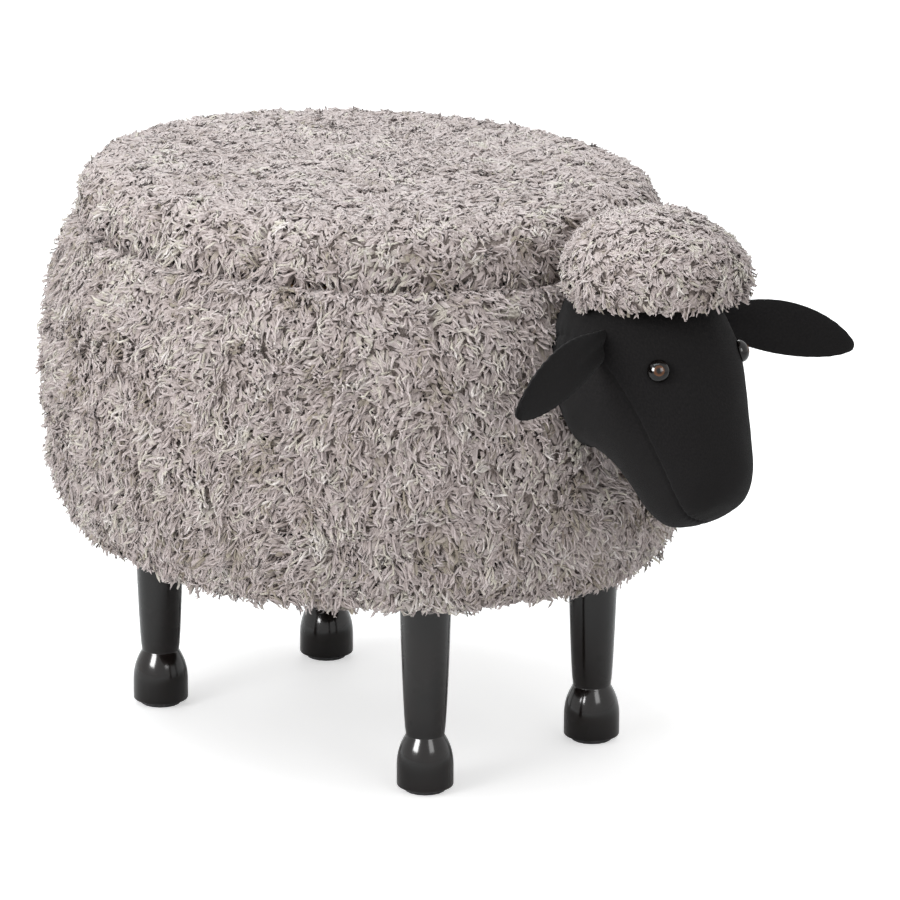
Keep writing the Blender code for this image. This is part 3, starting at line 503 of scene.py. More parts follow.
class OvalForm(Form):
    """Ovals stacked in rows of half length, half width and height, from the lower edge to the top."""

    def __init__(self, rows, bluntness, place, softness=5):
        rows = np.array(rows, float)
        step = np.linalg.norm(np.diff(rows, axis=0) * (0.7, 0.7, 1.0), axis=1)
        run = np.concatenate(([0], np.cumsum(step)))
        shares = np.linspace(0, 1, 200)
        self.rows = np.stack([np.interp(shares, run / run[-1], rows[:, i]) for i in range(3)], axis=1)
        for column in range(3):
            padded = np.pad(self.rows[:, column], softness // 2, mode="edge")
            self.rows[:, column] = np.convolve(padded, np.ones(softness) / softness, mode="valid")
        self.length = run[-1]
        self.bluntness = bluntness
        self.place = place

    def at(self, turn, along):
        long, wide, high = rows_at(self.rows, clamp(along))
        return placed(*blunt_oval(turn, long, wide, self.bluntness), high, self.place)


def drift(points, size, seed):
    """Smooth noise from about -1 to 1 at each point."""
    shift = Vector((seed * 13.7, seed * 7.3, seed * 3.1))
    return np.array([noise.noise(Vector(p) / size + shift) for p in points])


def lumps(points, seed):
    """How far the pile stands proud at each point, in soft lumps."""
    return 0.0028 * drift(points, 0.032, seed + 3) + 0.0016 * drift(points, 0.015, seed + 4)


# The lock of wool that is laid all over: three sided, tapering to its tip

LOCK_STEPS = np.array((0.0, 0.36, 0.70, 1.0))
LOCK_WIDTHS = np.array((0.5, 1.0, 0.95, 0.0))


def make_lock():
    """Corners and three-cornered faces of one lock, one unit long."""
    shape = bmesh.new()
    bmesh.ops.create_circle(shape, cap_ends=True, segments=3, radius=1)
    ring = list(shape.edges)
    for step in LOCK_STEPS[1:]:
        grown = bmesh.ops.extrude_edge_only(shape, edges=ring)["geom"]
        ring = [item for item in grown if isinstance(item, bmesh.types.BMEdge)]
        for vert in {vert for edge in ring for vert in edge.verts}:
            vert.co.z = step
    top = [vert for vert in shape.verts if vert.co.z == 1]
    bmesh.ops.pointmerge(shape, verts=top, merge_co=(0, 0, 1))
    bmesh.ops.triangulate(shape, faces=shape.faces)
    bmesh.ops.recalc_face_normals(shape, faces=shape.faces)
    shape.verts.ensure_lookup_table()
    corners = np.array([vert.co for vert in shape.verts])
    faces = np.array([[vert.index for vert in face.verts] for face in shape.faces])
    shape.free()
    return corners, faces


LOCK_CORNERS, LOCK_FACES = make_lock()
LOCK_STEP_OF = np.argmin(np.abs(LOCK_CORNERS[:, 2:3] - LOCK_STEPS), axis=1)
LOCK_ANGLE_OF = np.arctan2(LOCK_CORNERS[:, 1], LOCK_CORNERS[:, 0])


def lock_mesh(name, points, normals, tints):
    """One mesh of many locks: points and shading normals are locks x corners x 3, tints a number from 0 to 1 for
    each lock."""
    count, corners = points.shape[:2]
    faces = (LOCK_FACES[None] + corners * np.arange(count)[:, None, None]).reshape(-1, 3)
    mesh = bpy.data.meshes.new(name)
    mesh.vertices.add(count * corners)
    mesh.vertices.foreach_set("co", points.astype(np.float32).ravel())
    mesh.loops.add(faces.size)
    mesh.loops.foreach_set("vertex_index", faces.astype(np.int32).ravel())
    mesh.polygons.add(len(faces))
    mesh.polygons.foreach_set("loop_start", np.arange(0, faces.size, 3, dtype=np.int32))
    mesh.update(calc_edges=True)
    across = (LOCK_ANGLE_OF / TAU) % 1
    cell = np.floor(tints * LOCK_TINTS * 0.999)
    u = (cell[:, None] + 0.15 + 0.7 * across[None]) / LOCK_TINTS
    v = np.broadcast_to(0.02 + 0.96 * LOCK_CORNERS[None, :, 2], u.shape)
    lock_map = mesh.uv_layers.new(name="OFBake")
    both = np.stack((u, v), axis=2).reshape(-1, 2)[faces.ravel()]
    lock_map.data.foreach_set("uv", both.astype(np.float32).ravel())
    mesh.shade_smooth()
    mesh.normals_split_custom_set_from_vertices(normals.reshape(-1, 3).astype(np.float32))
    return mesh


LOCK_DEPTH = 0.0050
BROAD_SHARE = 0.42
GATHER, CURL = 0.72, 2.3


def grow(form, seed, lumpy, spacing=0.0024, tuft_spacing=0.0095, length=0.0098, lift=0.0036, width=0.0022,
         spread=0.5, droop=0.16, keep=None,
         taller=lambda points: 0, trim=lambda points: 1, hang=lambda points: 0):
    """Curled locks all over a form, in tufts that bend and gather together. Gives their points, tints and shares
    round."""
    chance = np.random.default_rng(40 + seed)
    turn, along = form.scatter(spacing, chance)
    tuft_turn, tuft_along = form.scatter(tuft_spacing, chance)
    if keep is not None:
        kept = keep(form.at(turn, along), form.axes(turn, along)[0])
        turn, along = turn[kept], along[kept]
    root = form.at(turn, along)
    out, down, side = form.axes(turn, along)
    root += out * (lumpy * lumps(root, seed))[:, None]
    count = len(root)
    upward = clamp(out[:, 2])

    tuft_root = form.at(tuft_turn, tuft_along)
    tufts = len(tuft_root)
    tree = KDTree(tufts)
    for index, place in enumerate(tuft_root):
        tree.insert(place, index)
    tree.balance()
    stray = chance.normal(0, 0.18 * tuft_spacing, (count, 3))
    mine = np.array([tree.find(place)[1] for place in root + stray])
    tuft_angle = 2.8 * drift(tuft_root, 0.038, seed) + chance.normal(0, spread, tufts)
    tuft_curl = CURL * chance.uniform(0.35, 1.2, tufts) * np.where(chance.random(tufts) < 0.5, -1, 1)
    tuft_high = chance.uniform(0.0, 2.0, tufts)
    tuft_tint = chance.normal(0, 0.12, tufts)

    angle = tuft_angle[mine] + chance.normal(0, 0.26, count)
    bend = tuft_curl[mine] + chance.normal(0, 0.55, count)
    comb = np.cos(angle)[:, None] * down + np.sin(angle)[:, None] * side
    across = np.cross(out, comb)
    broad = chance.random(count) < BROAD_SHARE
    long = length * chance.uniform(0.6, 1.3, count) * np.where(broad, 0.95, 1.15)
    long *= trim(root)
    inward = tuft_root[mine] - root
    ahead_in_tuft = np.clip(np.sum(-inward * comb, axis=1) / tuft_spacing, -0.6, 0.6)
    high = lift * (0.75 * tuft_high[mine] + 1.5 * ahead_in_tuft + chance.uniform(-0.15, 0.6, count))
    high = np.where(broad, 0.45 * high, high + 0.0004) * (1 - 0.45 * upward)
    high += taller(root)

    # Each lock's middle line, from its root to its tip
    s = LOCK_STEPS
    step, middle = np.diff(s), (s[1:] + s[:-1]) / 2
    heading = -0.35 * bend[:, None] + bend[:, None] * middle[None] ** 1.3
    wave = chance.uniform(0, TAU, count)[:, None] + TAU * chance.uniform(0.7, 1.2, count)[:, None] * middle[None]
    heading += chance.uniform(0.35, 1.1, count)[:, None] * np.sin(wave)
    start = np.zeros((count, 1))
    ahead = np.concatenate((start, np.cumsum(np.cos(heading) * step, axis=1)), axis=1) - 0.3
    aside = np.concatenate((start, np.cumsum(np.sin(heading) * step, axis=1)), axis=1)
    flick = chance.uniform(-0.0016, 0.0014, count)
    rise = np.stack((np.full(count, -LOCK_DEPTH), 0.0004 + 0.25 * high, 0.9 * high, high + flick), axis=1)
    line = root[:, None] + comb[:, None] * (ahead * long[:, None])[:, :, None]
    line += across[:, None] * (aside * long[:, None])[:, :, None] + out[:, None] * rise[:, :, None]
    inward -= out * np.sum(inward * out, axis=1, keepdims=True)
    line += inward[:, None] * (GATHER * chance.uniform(0.6, 1.3, count)[:, None] * s[None] ** 1.5)[:, :, None]
    droop = droop + hang(root)
    line[:, :, 2] -= (droop * long * (1 - upward))[:, None] * s[None] ** 2

    # Its skin round that line
    forward = unit(np.gradient(line, axis=1))
    flat = unit(np.cross(np.broadcast_to(out[:, None], forward.shape), forward))
    thick = np.cross(forward, flat)
    twist = chance.uniform(-0.6, 0.6, count)[:, None] + chance.uniform(-0.9, 0.9, count)[:, None] * s[None]
    cos, sin = np.cos(twist)[:, :, None], np.sin(twist)[:, :, None]
    flat, thick = (cos * flat + sin * thick)[:, LOCK_STEP_OF], (cos * thick - sin * flat)[:, LOCK_STEP_OF]
    wide = width * np.where(broad, chance.uniform(1.3, 2.2, count), chance.uniform(0.6, 1.1, count))
    wide = wide[:, None] * LOCK_WIDTHS[None, LOCK_STEP_OF] / 2
    thin = wide * np.where(broad, 0.3, 0.75)[:, None]
    cos, sin = np.cos(LOCK_ANGLE_OF + math.pi / 2), np.sin(LOCK_ANGLE_OF + math.pi / 2)
    points = line[:, LOCK_STEP_OF] + flat * (wide * cos)[:, :, None]
    points += thick * (thin * sin)[:, :, None]
    soft = np.where(broad, 0.85, 0.4)[:, None, None]
    normals = unit((1 - soft) * (flat * cos[None, :, None] + thick * sin[None, :, None]) + soft * out[:, None])
    patch = 0.40 * drift(root, 0.026, seed + 9) + tuft_tint[mine] + chance.normal(0, np.where(broad, 0.08, 0.16))
    patch += np.where(broad, -0.04, 0.05)
    tints = clamp(0.52 + patch * (1 - 0.4 * upward))
    return points, normals, tints, turn


def fleece_pieces(name, parts, body, grown):
    """Pieces of fleece, each a sector of the way round."""
    *shapes, turn = grown
    for number, chosen in enumerate(np.array_split(np.argsort(turn, kind="stable"), parts)):
        label = f"{name}_{number + 1}"
        mesh = lock_mesh(label, *(values[chosen] for values in shapes))
        finish_piece(label, mesh, FLEECE, body)


# Forms that the fleece grows on

RIM_DRAW_IN, RIM_DRAW_POWER = 0.018, 2.4
HEM_DRAW_IN, HEM_DRAW_POWER = 0.027, 2.7
RIM_ROUND, HEM_ROUND = 0.005, 0.009
HEM_TURN = 0.008
BELLY_SHARE = 0.45
LID_HEM_ROUND, LID_TURNED_IN = 0.009, 0.030
LID_SHOULDER_WIDTH, LID_SHOULDER_POWER = 0.038, 2.5
LID_SIDE_SHARE = 0.26
LID_CROWN = 0.004
POLL_HALF = Vector((0.060, 0.061, 0.040))
POLL_PITCH = math.radians(6)
POLL_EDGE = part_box("poll_fleece")[0].z + 0.0165


def belly_inset(height):
    share = (height - HEM_BOTTOM) / (RIM_TOP - HEM_BOTTOM)
    above = max(0.0, (share - BELLY_SHARE) / (1 - BELLY_SHARE))
    below = max(0.0, (BELLY_SHARE - share) / BELLY_SHARE)
    return RIM_DRAW_IN * above**RIM_DRAW_POWER + HEM_DRAW_IN * below**HEM_DRAW_POWER


def oval_rows(rows, half):
    return [(half.x - inset, half.y - inset, height) for inset, height in rows]


def round_corner(inset, height, size, degrees, way):
    """Rows round a corner that leaves an upright side and turns in, upward (1) or downward (-1)."""
    return [
        (inset + size * (1 - math.cos(angle)), height + way * size * math.sin(angle))
        for angle in map(math.radians, degrees)
    ]


def body_rows():
    low, high = HEM_BOTTOM + HEM_ROUND, RIM_TOP - RIM_ROUND
    hem_side, rim_side = belly_inset(low), belly_inset(high)
    hem_inner = WALL_INSET + HEM_TURN
    rows = [(hem_inner, BOARD_BOTTOM - 0.0005), (hem_inner - 0.002, HEM_BOTTOM + 0.004)]
    rows += [(hem_side + HEM_ROUND + 0.006, HEM_BOTTOM), *round_corner(hem_side, low, HEM_ROUND, (90, 60, 30), -1)]
    rows += [(belly_inset(height), height) for height in low + np.linspace(0, 1, 12) * (high - low)]
    rows += [*round_corner(rim_side, high, RIM_ROUND, (35, 65, 90), 1), (HOOP_SIDE, RIM_TOP)]
    return oval_rows(rows, BODY_HALF)


def lid_rows():
    side_top = LID_BOTTOM + LID_SIDE_SHARE * (LID_TOP - LID_BOTTOM)
    shoulder_top = LID_TOP - LID_CROWN
    rows = [(LID_TURNED_IN, LID_BOTTOM), (LID_HEM_ROUND, LID_BOTTOM)]
    for degrees in (60, 30, 0):
        angle = math.radians(degrees)
        rows.append((LID_HEM_ROUND * (1 - math.cos(angle)), LID_BOTTOM + LID_HEM_ROUND * (1 - math.sin(angle))))
    for share in (0.0, 0.03, 0.09, 0.17, 0.27, 0.4, 0.55, 0.75, 1.0):
        rise = (1 - (1 - share) ** LID_SHOULDER_POWER) ** (1 / LID_SHOULDER_POWER)
        rows.append((LID_SHOULDER_WIDTH * share, side_top + rise * (shoulder_top - side_top)))
    rows = oval_rows(rows, LID_HALF)
    edge = rows[-1]
    for share in (0.85, 0.65, 0.45, 0.25, 0.1, 0.0):
        rows.append((edge[0] * share, edge[1] * share, shoulder_top + LID_CROWN * (1 - share**2)))
    return rows


class PollForm(OvalForm):
    """The egg of the cap, cut level across the forehead."""

    def at(self, turn, along):
        points = super().at(turn, along)
        level = POLL_EDGE - 0.020 * clamp((HEAD_BACK + 0.050 - points[:, 0]) / 0.035)
        points[:, 2] = np.maximum(points[:, 2], level)
        return points


def poll_rows():
    angles = [math.radians(degrees) for degrees in range(-66, 91, 6)]
    return [(POLL_HALF.x * math.cos(a), POLL_HALF.y * math.cos(a), POLL_HALF.z * math.sin(a)) for a in angles]


def poll_place():
    """The egg's middle, from the corner of its box that the head and body leave whole."""
    reach = math.hypot(POLL_HALF.x * math.cos(POLL_PITCH), POLL_HALF.z * math.sin(POLL_PITCH))
    rise = math.hypot(POLL_HALF.x * math.sin(POLL_PITCH), POLL_HALF.z * math.cos(POLL_PITCH))
    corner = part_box("poll_fleece")[1]
    return Matrix.Translation((corner.x - reach, 0, corner.z - rise)) @ Matrix.Rotation(POLL_PITCH, 4, "Y")


BODY_PLACE = Matrix.Translation((BODY_X, 0, 0))
BODY_FORM = OvalForm(body_rows(), BODY_BLUNTNESS, BODY_PLACE)
LID_FORM = OvalForm(lid_rows(), BODY_BLUNTNESS, BODY_PLACE)
POLL_FORM = PollForm(poll_rows(), 2.0, poll_place())


# The head: cloth over stuffing, with a seam down each side and one under the chin

HEAD_REACH, HEAD_DROP, HEAD_WIDTH, HEAD_DEPTH = 0.1035, 0.094, 0.114, 0.132
HEAD_BLUNTNESS = 2.25
# Each station: share of the reach, share of the drop, pitch in degrees, shares of half width and half depth
HEAD_STATIONS = (
    (0.00, 0.00, 0, 0.79, 0.79),
    (0.17, -0.04, 6, 0.93, 0.955),
    (0.37, 0.00, 22, 1.00, 1.00),
    (0.56, 0.14, 38, 0.98, 0.895),
    (0.715, 0.37, 51, 0.86, 0.727),
    (0.83, 0.61, 58, 0.73, 0.606),
    (0.92, 0.81, 60, 0.64, 0.515),
    (0.975, 0.945, 60, 0.49, 0.38),
    (1.00, 1.00, 60, 0.25, 0.18),
    (1.005, 1.012, 60, 0.0, 0.0),
)
HEAD_MAP = (0.36, 0.20)  # way round and length of its cloth
SEAM_TURNS = (0.045, 0.455, 0.75)
SEAM_WIDTH, PUCKER_WIDTH, PUCKER_SPACING = 0.0016, 0.006, 0.0075


class HeadForm(Form):
    track = smooth_track(HEAD_STATIONS, 300, 3)

    def at(self, turn, along):
        go, drop, pitch, wide, deep = rows_at(self.track, clamp(along))
        across, rise = blunt_oval(turn, wide * HEAD_WIDTH / 2, deep * HEAD_DEPTH / 2, HEAD_BLUNTNESS)
        x = HEAD_BACK + go * HEAD_REACH + rise * np.sin(np.radians(pitch))
        z = HEAD_LEVEL - drop * HEAD_DROP + rise * np.cos(np.radians(pitch))
        return np.stack((x, across, z), axis=1)


HEAD_FORM = HeadForm()


def head_skin(turn, along):
    """The stuffed cloth: drawn in along its seams, puckered beside them and softly uneven."""
    points = HEAD_FORM.at(turn, along)
    out = HEAD_FORM.axes(turn, along)[0]
    round_size = HEAD_MAP[0] * np.interp(along, (0, 0.3, 0.6, 0.85, 1), (0.82, 1.0, 0.8, 0.5, 0.05))
    sink = np.zeros_like(turn)
    for seam in SEAM_TURNS:
        away = np.abs((turn - seam + 0.5) % 1 - 0.5) * round_size
        pucker = 0.5 + 0.5 * np.sin(along * HEAD_MAP[1] / PUCKER_SPACING * TAU + seam * 9)
        sink += 0.0011 * np.exp(-(away / SEAM_WIDTH) ** 2) + 0.0006 * pucker * np.exp(-(away / PUCKER_WIDTH) ** 2)
    uneven = 0.0008 * drift(points, 0.034, 3) + 0.0003 * drift(points, 0.012, 4)
    fade = clamp((1 - along) * 12)
    return points + out * ((uneven - sink) * fade)[:, None]


def make_head():
    marks = [(seam, SEAM_WIDTH / HEAD_MAP[0]) for seam in SEAM_TURNS]
    shape = wrapped_grid(head_skin, even_steps(96, marks), even_steps(110), HEAD_MAP)
    head = piece_from("head_skin", shape, HEAD_CLOTH)
    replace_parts(head, "head_cover", "head_filling")


# Ears: two leaves of cloth sewn together round their edge, gathered at the root

EAR_SPAN, EAR_ROOT_SPACING = 0.320, 0.090
EAR_ROOT_FORWARD, EAR_TIP_FORWARD = 0.052, 0.084
EAR_ROOT_RISE, EAR_TIP_RISE, EAR_ARCH = 0.024, {1: -0.009, -1: 0.001}, 0.004
EAR_WIDTH, EAR_THICKNESS, EAR_CUP_SHARE = 0.0355, 0.011, 0.35
EAR_LENGTH, EAR_PUCKER_SPACING, EAR_MAP = 0.115, 0.008, (0.09, 0.12)
# Each station: share of the length, of the width and of the thickness
EAR_STATIONS = (
    (0.00, 0.50, 0.90), (0.14, 0.66, 1.00), (0.32, 0.90, 0.95), (0.50, 1.00, 0.85), (0.68, 0.92, 0.75),
    (0.84, 0.68, 0.60), (0.95, 0.36, 0.45), (0.988, 0.16, 0.25), (1.00, 0.00, 0.00),
)


def ear_skin(left):
    track = smooth_track(EAR_STATIONS, 200, 1)
    root = Vector((HEAD_BACK + EAR_ROOT_FORWARD, left * EAR_ROOT_SPACING / 2, HEAD_LEVEL + EAR_ROOT_RISE))
    tip = Vector((HEAD_BACK + EAR_TIP_FORWARD, left * EAR_SPAN / 2, HEAD_LEVEL + EAR_TIP_RISE[left]))
    lengthwise = (tip - root).normalized()
    through = (Vector((1, 0, 0)) - lengthwise * lengthwise.x).normalized()
    crosswise = lengthwise.cross(through)

    def point_of(turn, along):
        share, wide, thick = rows_at(track, along)
        cos, sin = np.cos(TAU * turn), np.sin(TAU * turn)
        half_thickness = thick * EAR_THICKNESS / 2
        a = wide * EAR_WIDTH / 2 * cos
        front = np.sign(sin)
        seam = np.exp(-((1 - np.abs(cos)) / 0.05) ** 2)
        wavy = 0.0005 * np.sin(share * EAR_LENGTH / EAR_PUCKER_SPACING * TAU) * seam
        t = front * half_thickness * np.abs(sin) ** 1.35 + 0.0004 * seam * front + wavy
        fold = np.exp(-(a / 0.0042) ** 2) * clamp(1 - share / 0.42)
        t -= np.where(front > 0, 0.0030, 0.0012) * fold * front
        t += EAR_CUP_SHARE * half_thickness * cos**2
        centre = np.array(root) + (np.array(tip) - np.array(root)) * share[:, None]
        centre[:, 2] += 4 * EAR_ARCH * share * (1 - share)
        return centre + np.outer(a, crosswise) + np.outer(t, through)

    return point_of


def make_ears():
    for side, left in (("left", 1), ("right", -1)):
        shape = wrapped_grid(ear_skin(left), even_steps(56, ((0.5, 0.004),)), even_steps(70), EAR_MAP)
        ear = piece_from(f"ear_skin_{side}", shape, HEAD_CLOTH)
        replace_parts(ear, f"ear_{side}")


# Fleece of the body, lid and poll

def head_distance(points):
    """How far each point stands outside the cloth head, less than nothing inside it."""
    cover = nodes["head_cover"].data
    tree = BVHTree.FromPolygons([vert.co for vert in cover.vertices], [face.vertices for face in cover.polygons])
    result = []
    for point in points:
        near, normal, _, distance = tree.find_nearest(Vector(point))
        result.append(math.copysign(distance, (Vector(point) - near).dot(normal)))
    return np.array(result)


def body_keep(points, out):
    behind_head = (points[:, 1] / 0.046) ** 2 + ((points[:, 2] - HEAD_LEVEL) / 0.052) ** 2 < 1
    return (points[:, 0] < BODY_X) | ~behind_head


def body_taller(points):
    """Pile at the rim and at the hem lies flatter."""
    at_rim = clamp((points[:, 2] - (RIM_TOP - 0.006)) / 0.006)
    at_hem = clamp((HEM_BOTTOM + 0.030 - points[:, 2]) / 0.030)
    return (-0.0020 + 0.0022 * drift(points, 0.016, 5)) * at_rim - 0.003 * at_hem


def body_trim(points):
    """Pile at the hem is shorter."""
    return 1 - 0.35 * clamp((HEM_BOTTOM + 0.022 - points[:, 2]) / 0.022)


# Pile along the lid's lower edge stands out and hangs down over the seam, and is longer

def at_lid_hem(points):
    return clamp((LID_BOTTOM + 0.014 - points[:, 2]) / 0.014)


def lid_taller(points):
    return 0.0035 * at_lid_hem(points)


def lid_hang(points):
    return (0.50 + 0.45 * drift(points, 0.016, 6)) * at_lid_hem(points)


def lid_trim(points):
    return 1 + (0.25 + 0.35 * drift(points, 0.016, 6)) * at_lid_hem(points)


def poll_keep(points, out):
    outside = (head_distance(points) > 0.0015) & (points[:, 0] > HEAD_BACK - 0.006)
    return outside & (out[:, 2] > -0.8)


def poll_trim(points):
    """Pile beside the cloth is short, so the cap ends in a clean line."""
    above_edge = clamp((points[:, 2] - POLL_EDGE) / 0.010)
    return np.clip(head_distance(points) / 0.011, 0.3, 1) * (0.42 + 0.58 * above_edge)


BACKING_SHARE = 0.22


def body_backing():
    """Inner side of the body's padding: down the hoop and the wall and under the board's edge."""
    hoop_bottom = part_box("rim_hoop")[0].z
    rows = [(HOOP_SIDE - CLEAR, RIM_TOP - CLEAR), (HOOP_SIDE - CLEAR, hoop_bottom - CLEAR)]
    rows += [(WALL_INSET - CLEAR, hoop_bottom - 2 * CLEAR), (WALL_INSET - CLEAR, BOARD_BOTTOM - CLEAR)]
    rows.append((WALL_INSET + HEM_TURN, BOARD_BOTTOM - CLEAR))
    return OvalForm(oval_rows(rows, BODY_HALF), BODY_BLUNTNESS, BODY_PLACE, 1)


def lid_backing():
    """Inner side of the lid's padding: over the board, round its edge and in under it."""
    low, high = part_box("lid_board")
    x, y = (high.x - low.x) / 2 + CLEAR, (high.y - low.y) / 2 + CLEAR
    turned = (LID_HALF.x - LID_TURNED_IN, LID_HALF.y - LID_TURNED_IN)
    rows = [(0.0, 0.0, high.z + CLEAR), (x / 2, y / 2, high.z + CLEAR), (x, y, high.z + CLEAR), (x, y, low.z - CLEAR)]
    return OvalForm(rows + [(*turned, low.z - CLEAR), (*turned, LID_BOTTOM)], BODY_BLUNTNESS, BODY_PLACE, 1)


def body_shell(turn, along):
    """The body's padding as a closed ring: its outer side, then its backing back to the start."""
    outer = BODY_FORM.sunk(0.0022, 1)
    back = along > 1 - BACKING_SHARE
    points = outer(turn, clamp(along / (1 - BACKING_SHARE)))
    inward = (along[back] - 1 + BACKING_SHARE) / BACKING_SHARE
    points[back] = body_backing().at(turn[back], inward)
    last = along >= 1
    points[last] = outer(turn[last], np.zeros(last.sum()))
    return points


def lid_shell(turn, along):
    """The lid's padding: its backing from the middle out, then its outer side to the top."""
    outer = along > BACKING_SHARE
    points = lid_backing().at(turn, clamp(along / BACKING_SHARE))
    points[outer] = LID_FORM.sunk(0.0018, 2)(turn[outer], (along[outer] - BACKING_SHARE) / (1 - BACKING_SHARE))
    return points


def make_fleece():
    for name, point_of, around, rows, body, share, replaced in (
        ("body_pelt", body_shell, 200, 110, "stool", 0.7, ("body_fleece", "wall_foam")),
        ("lid_pelt", lid_shell, 200, 100, "lid", 0.7, ("lid_fleece", "lid_foam")),
        ("poll_pelt", POLL_FORM.sunk(0.0020, 3), 96, 48, "stool", 0.6, ("poll_fleece",)),
    ):
        pelt = piece_from(name, wrapped_grid(point_of, even_steps(around), even_steps(rows)), PELT_PAINTED_SHADE, body)
        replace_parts(pelt, *replaced)

    fleece_pieces("body_locks", 6, "stool", grow(
        BODY_FORM, 1, 1.25, keep=body_keep, taller=body_taller, trim=body_trim,
    ))
    fleece_pieces("lid_locks", 3, "lid", grow(
        LID_FORM, 2, 0.6, length=0.0094, lift=0.0028, spread=1.8, droop=0.12,
        taller=lid_taller, trim=lid_trim, hang=lid_hang,
    ))
    fleece_pieces("poll_locks", 1, "stool", grow(
        POLL_FORM, 3, 0.5, spacing=0.0021, tuft_spacing=0.0085, length=0.0082, lift=0.0024, width=0.0019,
        droop=0.08, keep=poll_keep, trim=poll_trim,
    ))


# Turned pieces: legs and eyes

def softened(profile, size=0.0003):
    """A profile whose corners are cut at a small size, so they shade as worn edges."""
    profile = [Vector(point) for point in profile]
    rows = [profile[0]]
    for before, corner, after in zip(profile, profile[1:], profile[2:]):
        into = corner + (before - corner) * min(0.3, size / (before - corner).length)
        onward = corner + (after - corner) * min(0.3, size / (after - corner).length)
        rows += [into, (into + onward) / 4 + corner / 2, onward]
    rows.append(profile[-1])
    return np.array(rows)


def turned_piece(name, profile, place, material, around):
    """A profile of radius and height, turned about its height."""
    last = len(profile) - 1
    run = float(np.sum(np.linalg.norm(np.diff(profile, axis=0), axis=1)))

    def point_of(turn, along):
        radius, height = profile[np.rint(along * last).astype(int)].T
        return placed(radius * np.cos(TAU * turn), radius * np.sin(TAU * turn), height, place)

    size = (TAU * float(profile[:, 0].max()), run)
    return piece_from(name, wrapped_grid(point_of, even_steps(around), even_steps(last), size), material)


LEG_TOP, LEG_WAIST, HOOF = 0.01775, 0.013, 0.01925
HOOF_HEIGHT, HOOF_SHOULDER_HEIGHT, HOOF_EDGE = 0.036, 0.013, 0.0012
SHANK_TAPER_POWER, HOOF_BELL_POWER = 0.65, 2.3


def leg_profile(height, bore, bore_end):
    """From the bore for its bolt over the top, down the shank, out over the hoof's bell and under its sole."""
    rows = [(0, bore_end), (bore, bore_end), (bore, height), (LEG_TOP - 0.001, height)]
    for share in np.linspace(1, 0, 22):
        rows.append((LEG_WAIST + (LEG_TOP - LEG_WAIST) * share**SHANK_TAPER_POWER,
                     HOOF_HEIGHT + share * (height - 0.001 - HOOF_HEIGHT)))
    for share in np.linspace(0, 1, 20)[1:]:
        rows.append((LEG_WAIST + (HOOF - LEG_WAIST) * (1 - (1 - share) ** HOOF_BELL_POWER),
                     HOOF_HEIGHT - share * (HOOF_HEIGHT - HOOF_SHOULDER_HEIGHT)))
    rows += [(HOOF, 0.007), (HOOF, HOOF_EDGE), (HOOF - 0.35 * HOOF_EDGE, 0.35 * HOOF_EDGE), (HOOF - HOOF_EDGE, 0)]
    rows += [(0.5 * HOOF, 0), (0, 0)]
    return softened(rows)


def make_legs():
    for name in LEGS:
        low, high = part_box(name)
        bolt_low, bolt_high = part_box(name.replace("leg", "hanger_bolt"))
        profile = leg_profile(high.z - low.z, (bolt_high.x - bolt_low.x) / 2 + CLEAR, bolt_low.z - low.z - CLEAR)
        place = Matrix.Translation(((low.x + high.x) / 2, (low.y + high.y) / 2, low.z))
        leg = turned_piece(name.replace("leg", "turned_leg"), profile, place, LACQUER, 72)
        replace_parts(leg, name)


EYE_TURN, EYE_STATION = 47 / 360, 3.35


def make_eyes():
    """Domed eyes, each on its shank."""
    along = np.array((EYE_STATION / (len(HEAD_STATIONS) - 1),))
    rows = [(EYE_RADIUS * math.sin(angle), EYE_DOME * math.cos(angle)) for angle in np.linspace(0, math.pi / 2, 16)]
    rows += [(EYE_RADIUS - 0.0004, -0.0004), (0.002, -0.0004), (0.002, -0.009), (0, -0.009)]
    for side, turn in (("left", np.array((EYE_TURN,))), ("right", np.array((0.5 - EYE_TURN,)))):
        seat, outward = Vector(HEAD_FORM.at(turn, along)[0]), Vector(HEAD_FORM.axes(turn, along)[0][0])
        place = Matrix.Translation(seat + outward * CLEAR) @ outward.to_track_quat("Z", "Y").to_matrix().to_4x4()
        eye = turned_piece(f"eye_dome_{side}", np.array(rows), place, EYE, 48)
        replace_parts(eye, f"eye_{side}")


# Linings, each a thin cloth

LINING_THICKNESS, LINING_INSET = 0.0006, 0.0410


def body_oval(turn, inset):
    """x and y at shares of the way round the body's oval, that far in from its widest."""
    return blunt_oval(turn, BODY_HALF.x - inset, BODY_HALF.y - inset, BODY_BLUNTNESS)


def oval_ring(inset):
    return np.stack(body_oval(np.linspace(0, 1, 721)[:-1], inset), axis=1)


def ring_length(ring):
    return float(np.sum(np.linalg.norm(np.roll(ring, -1, axis=0) - ring, axis=1)))


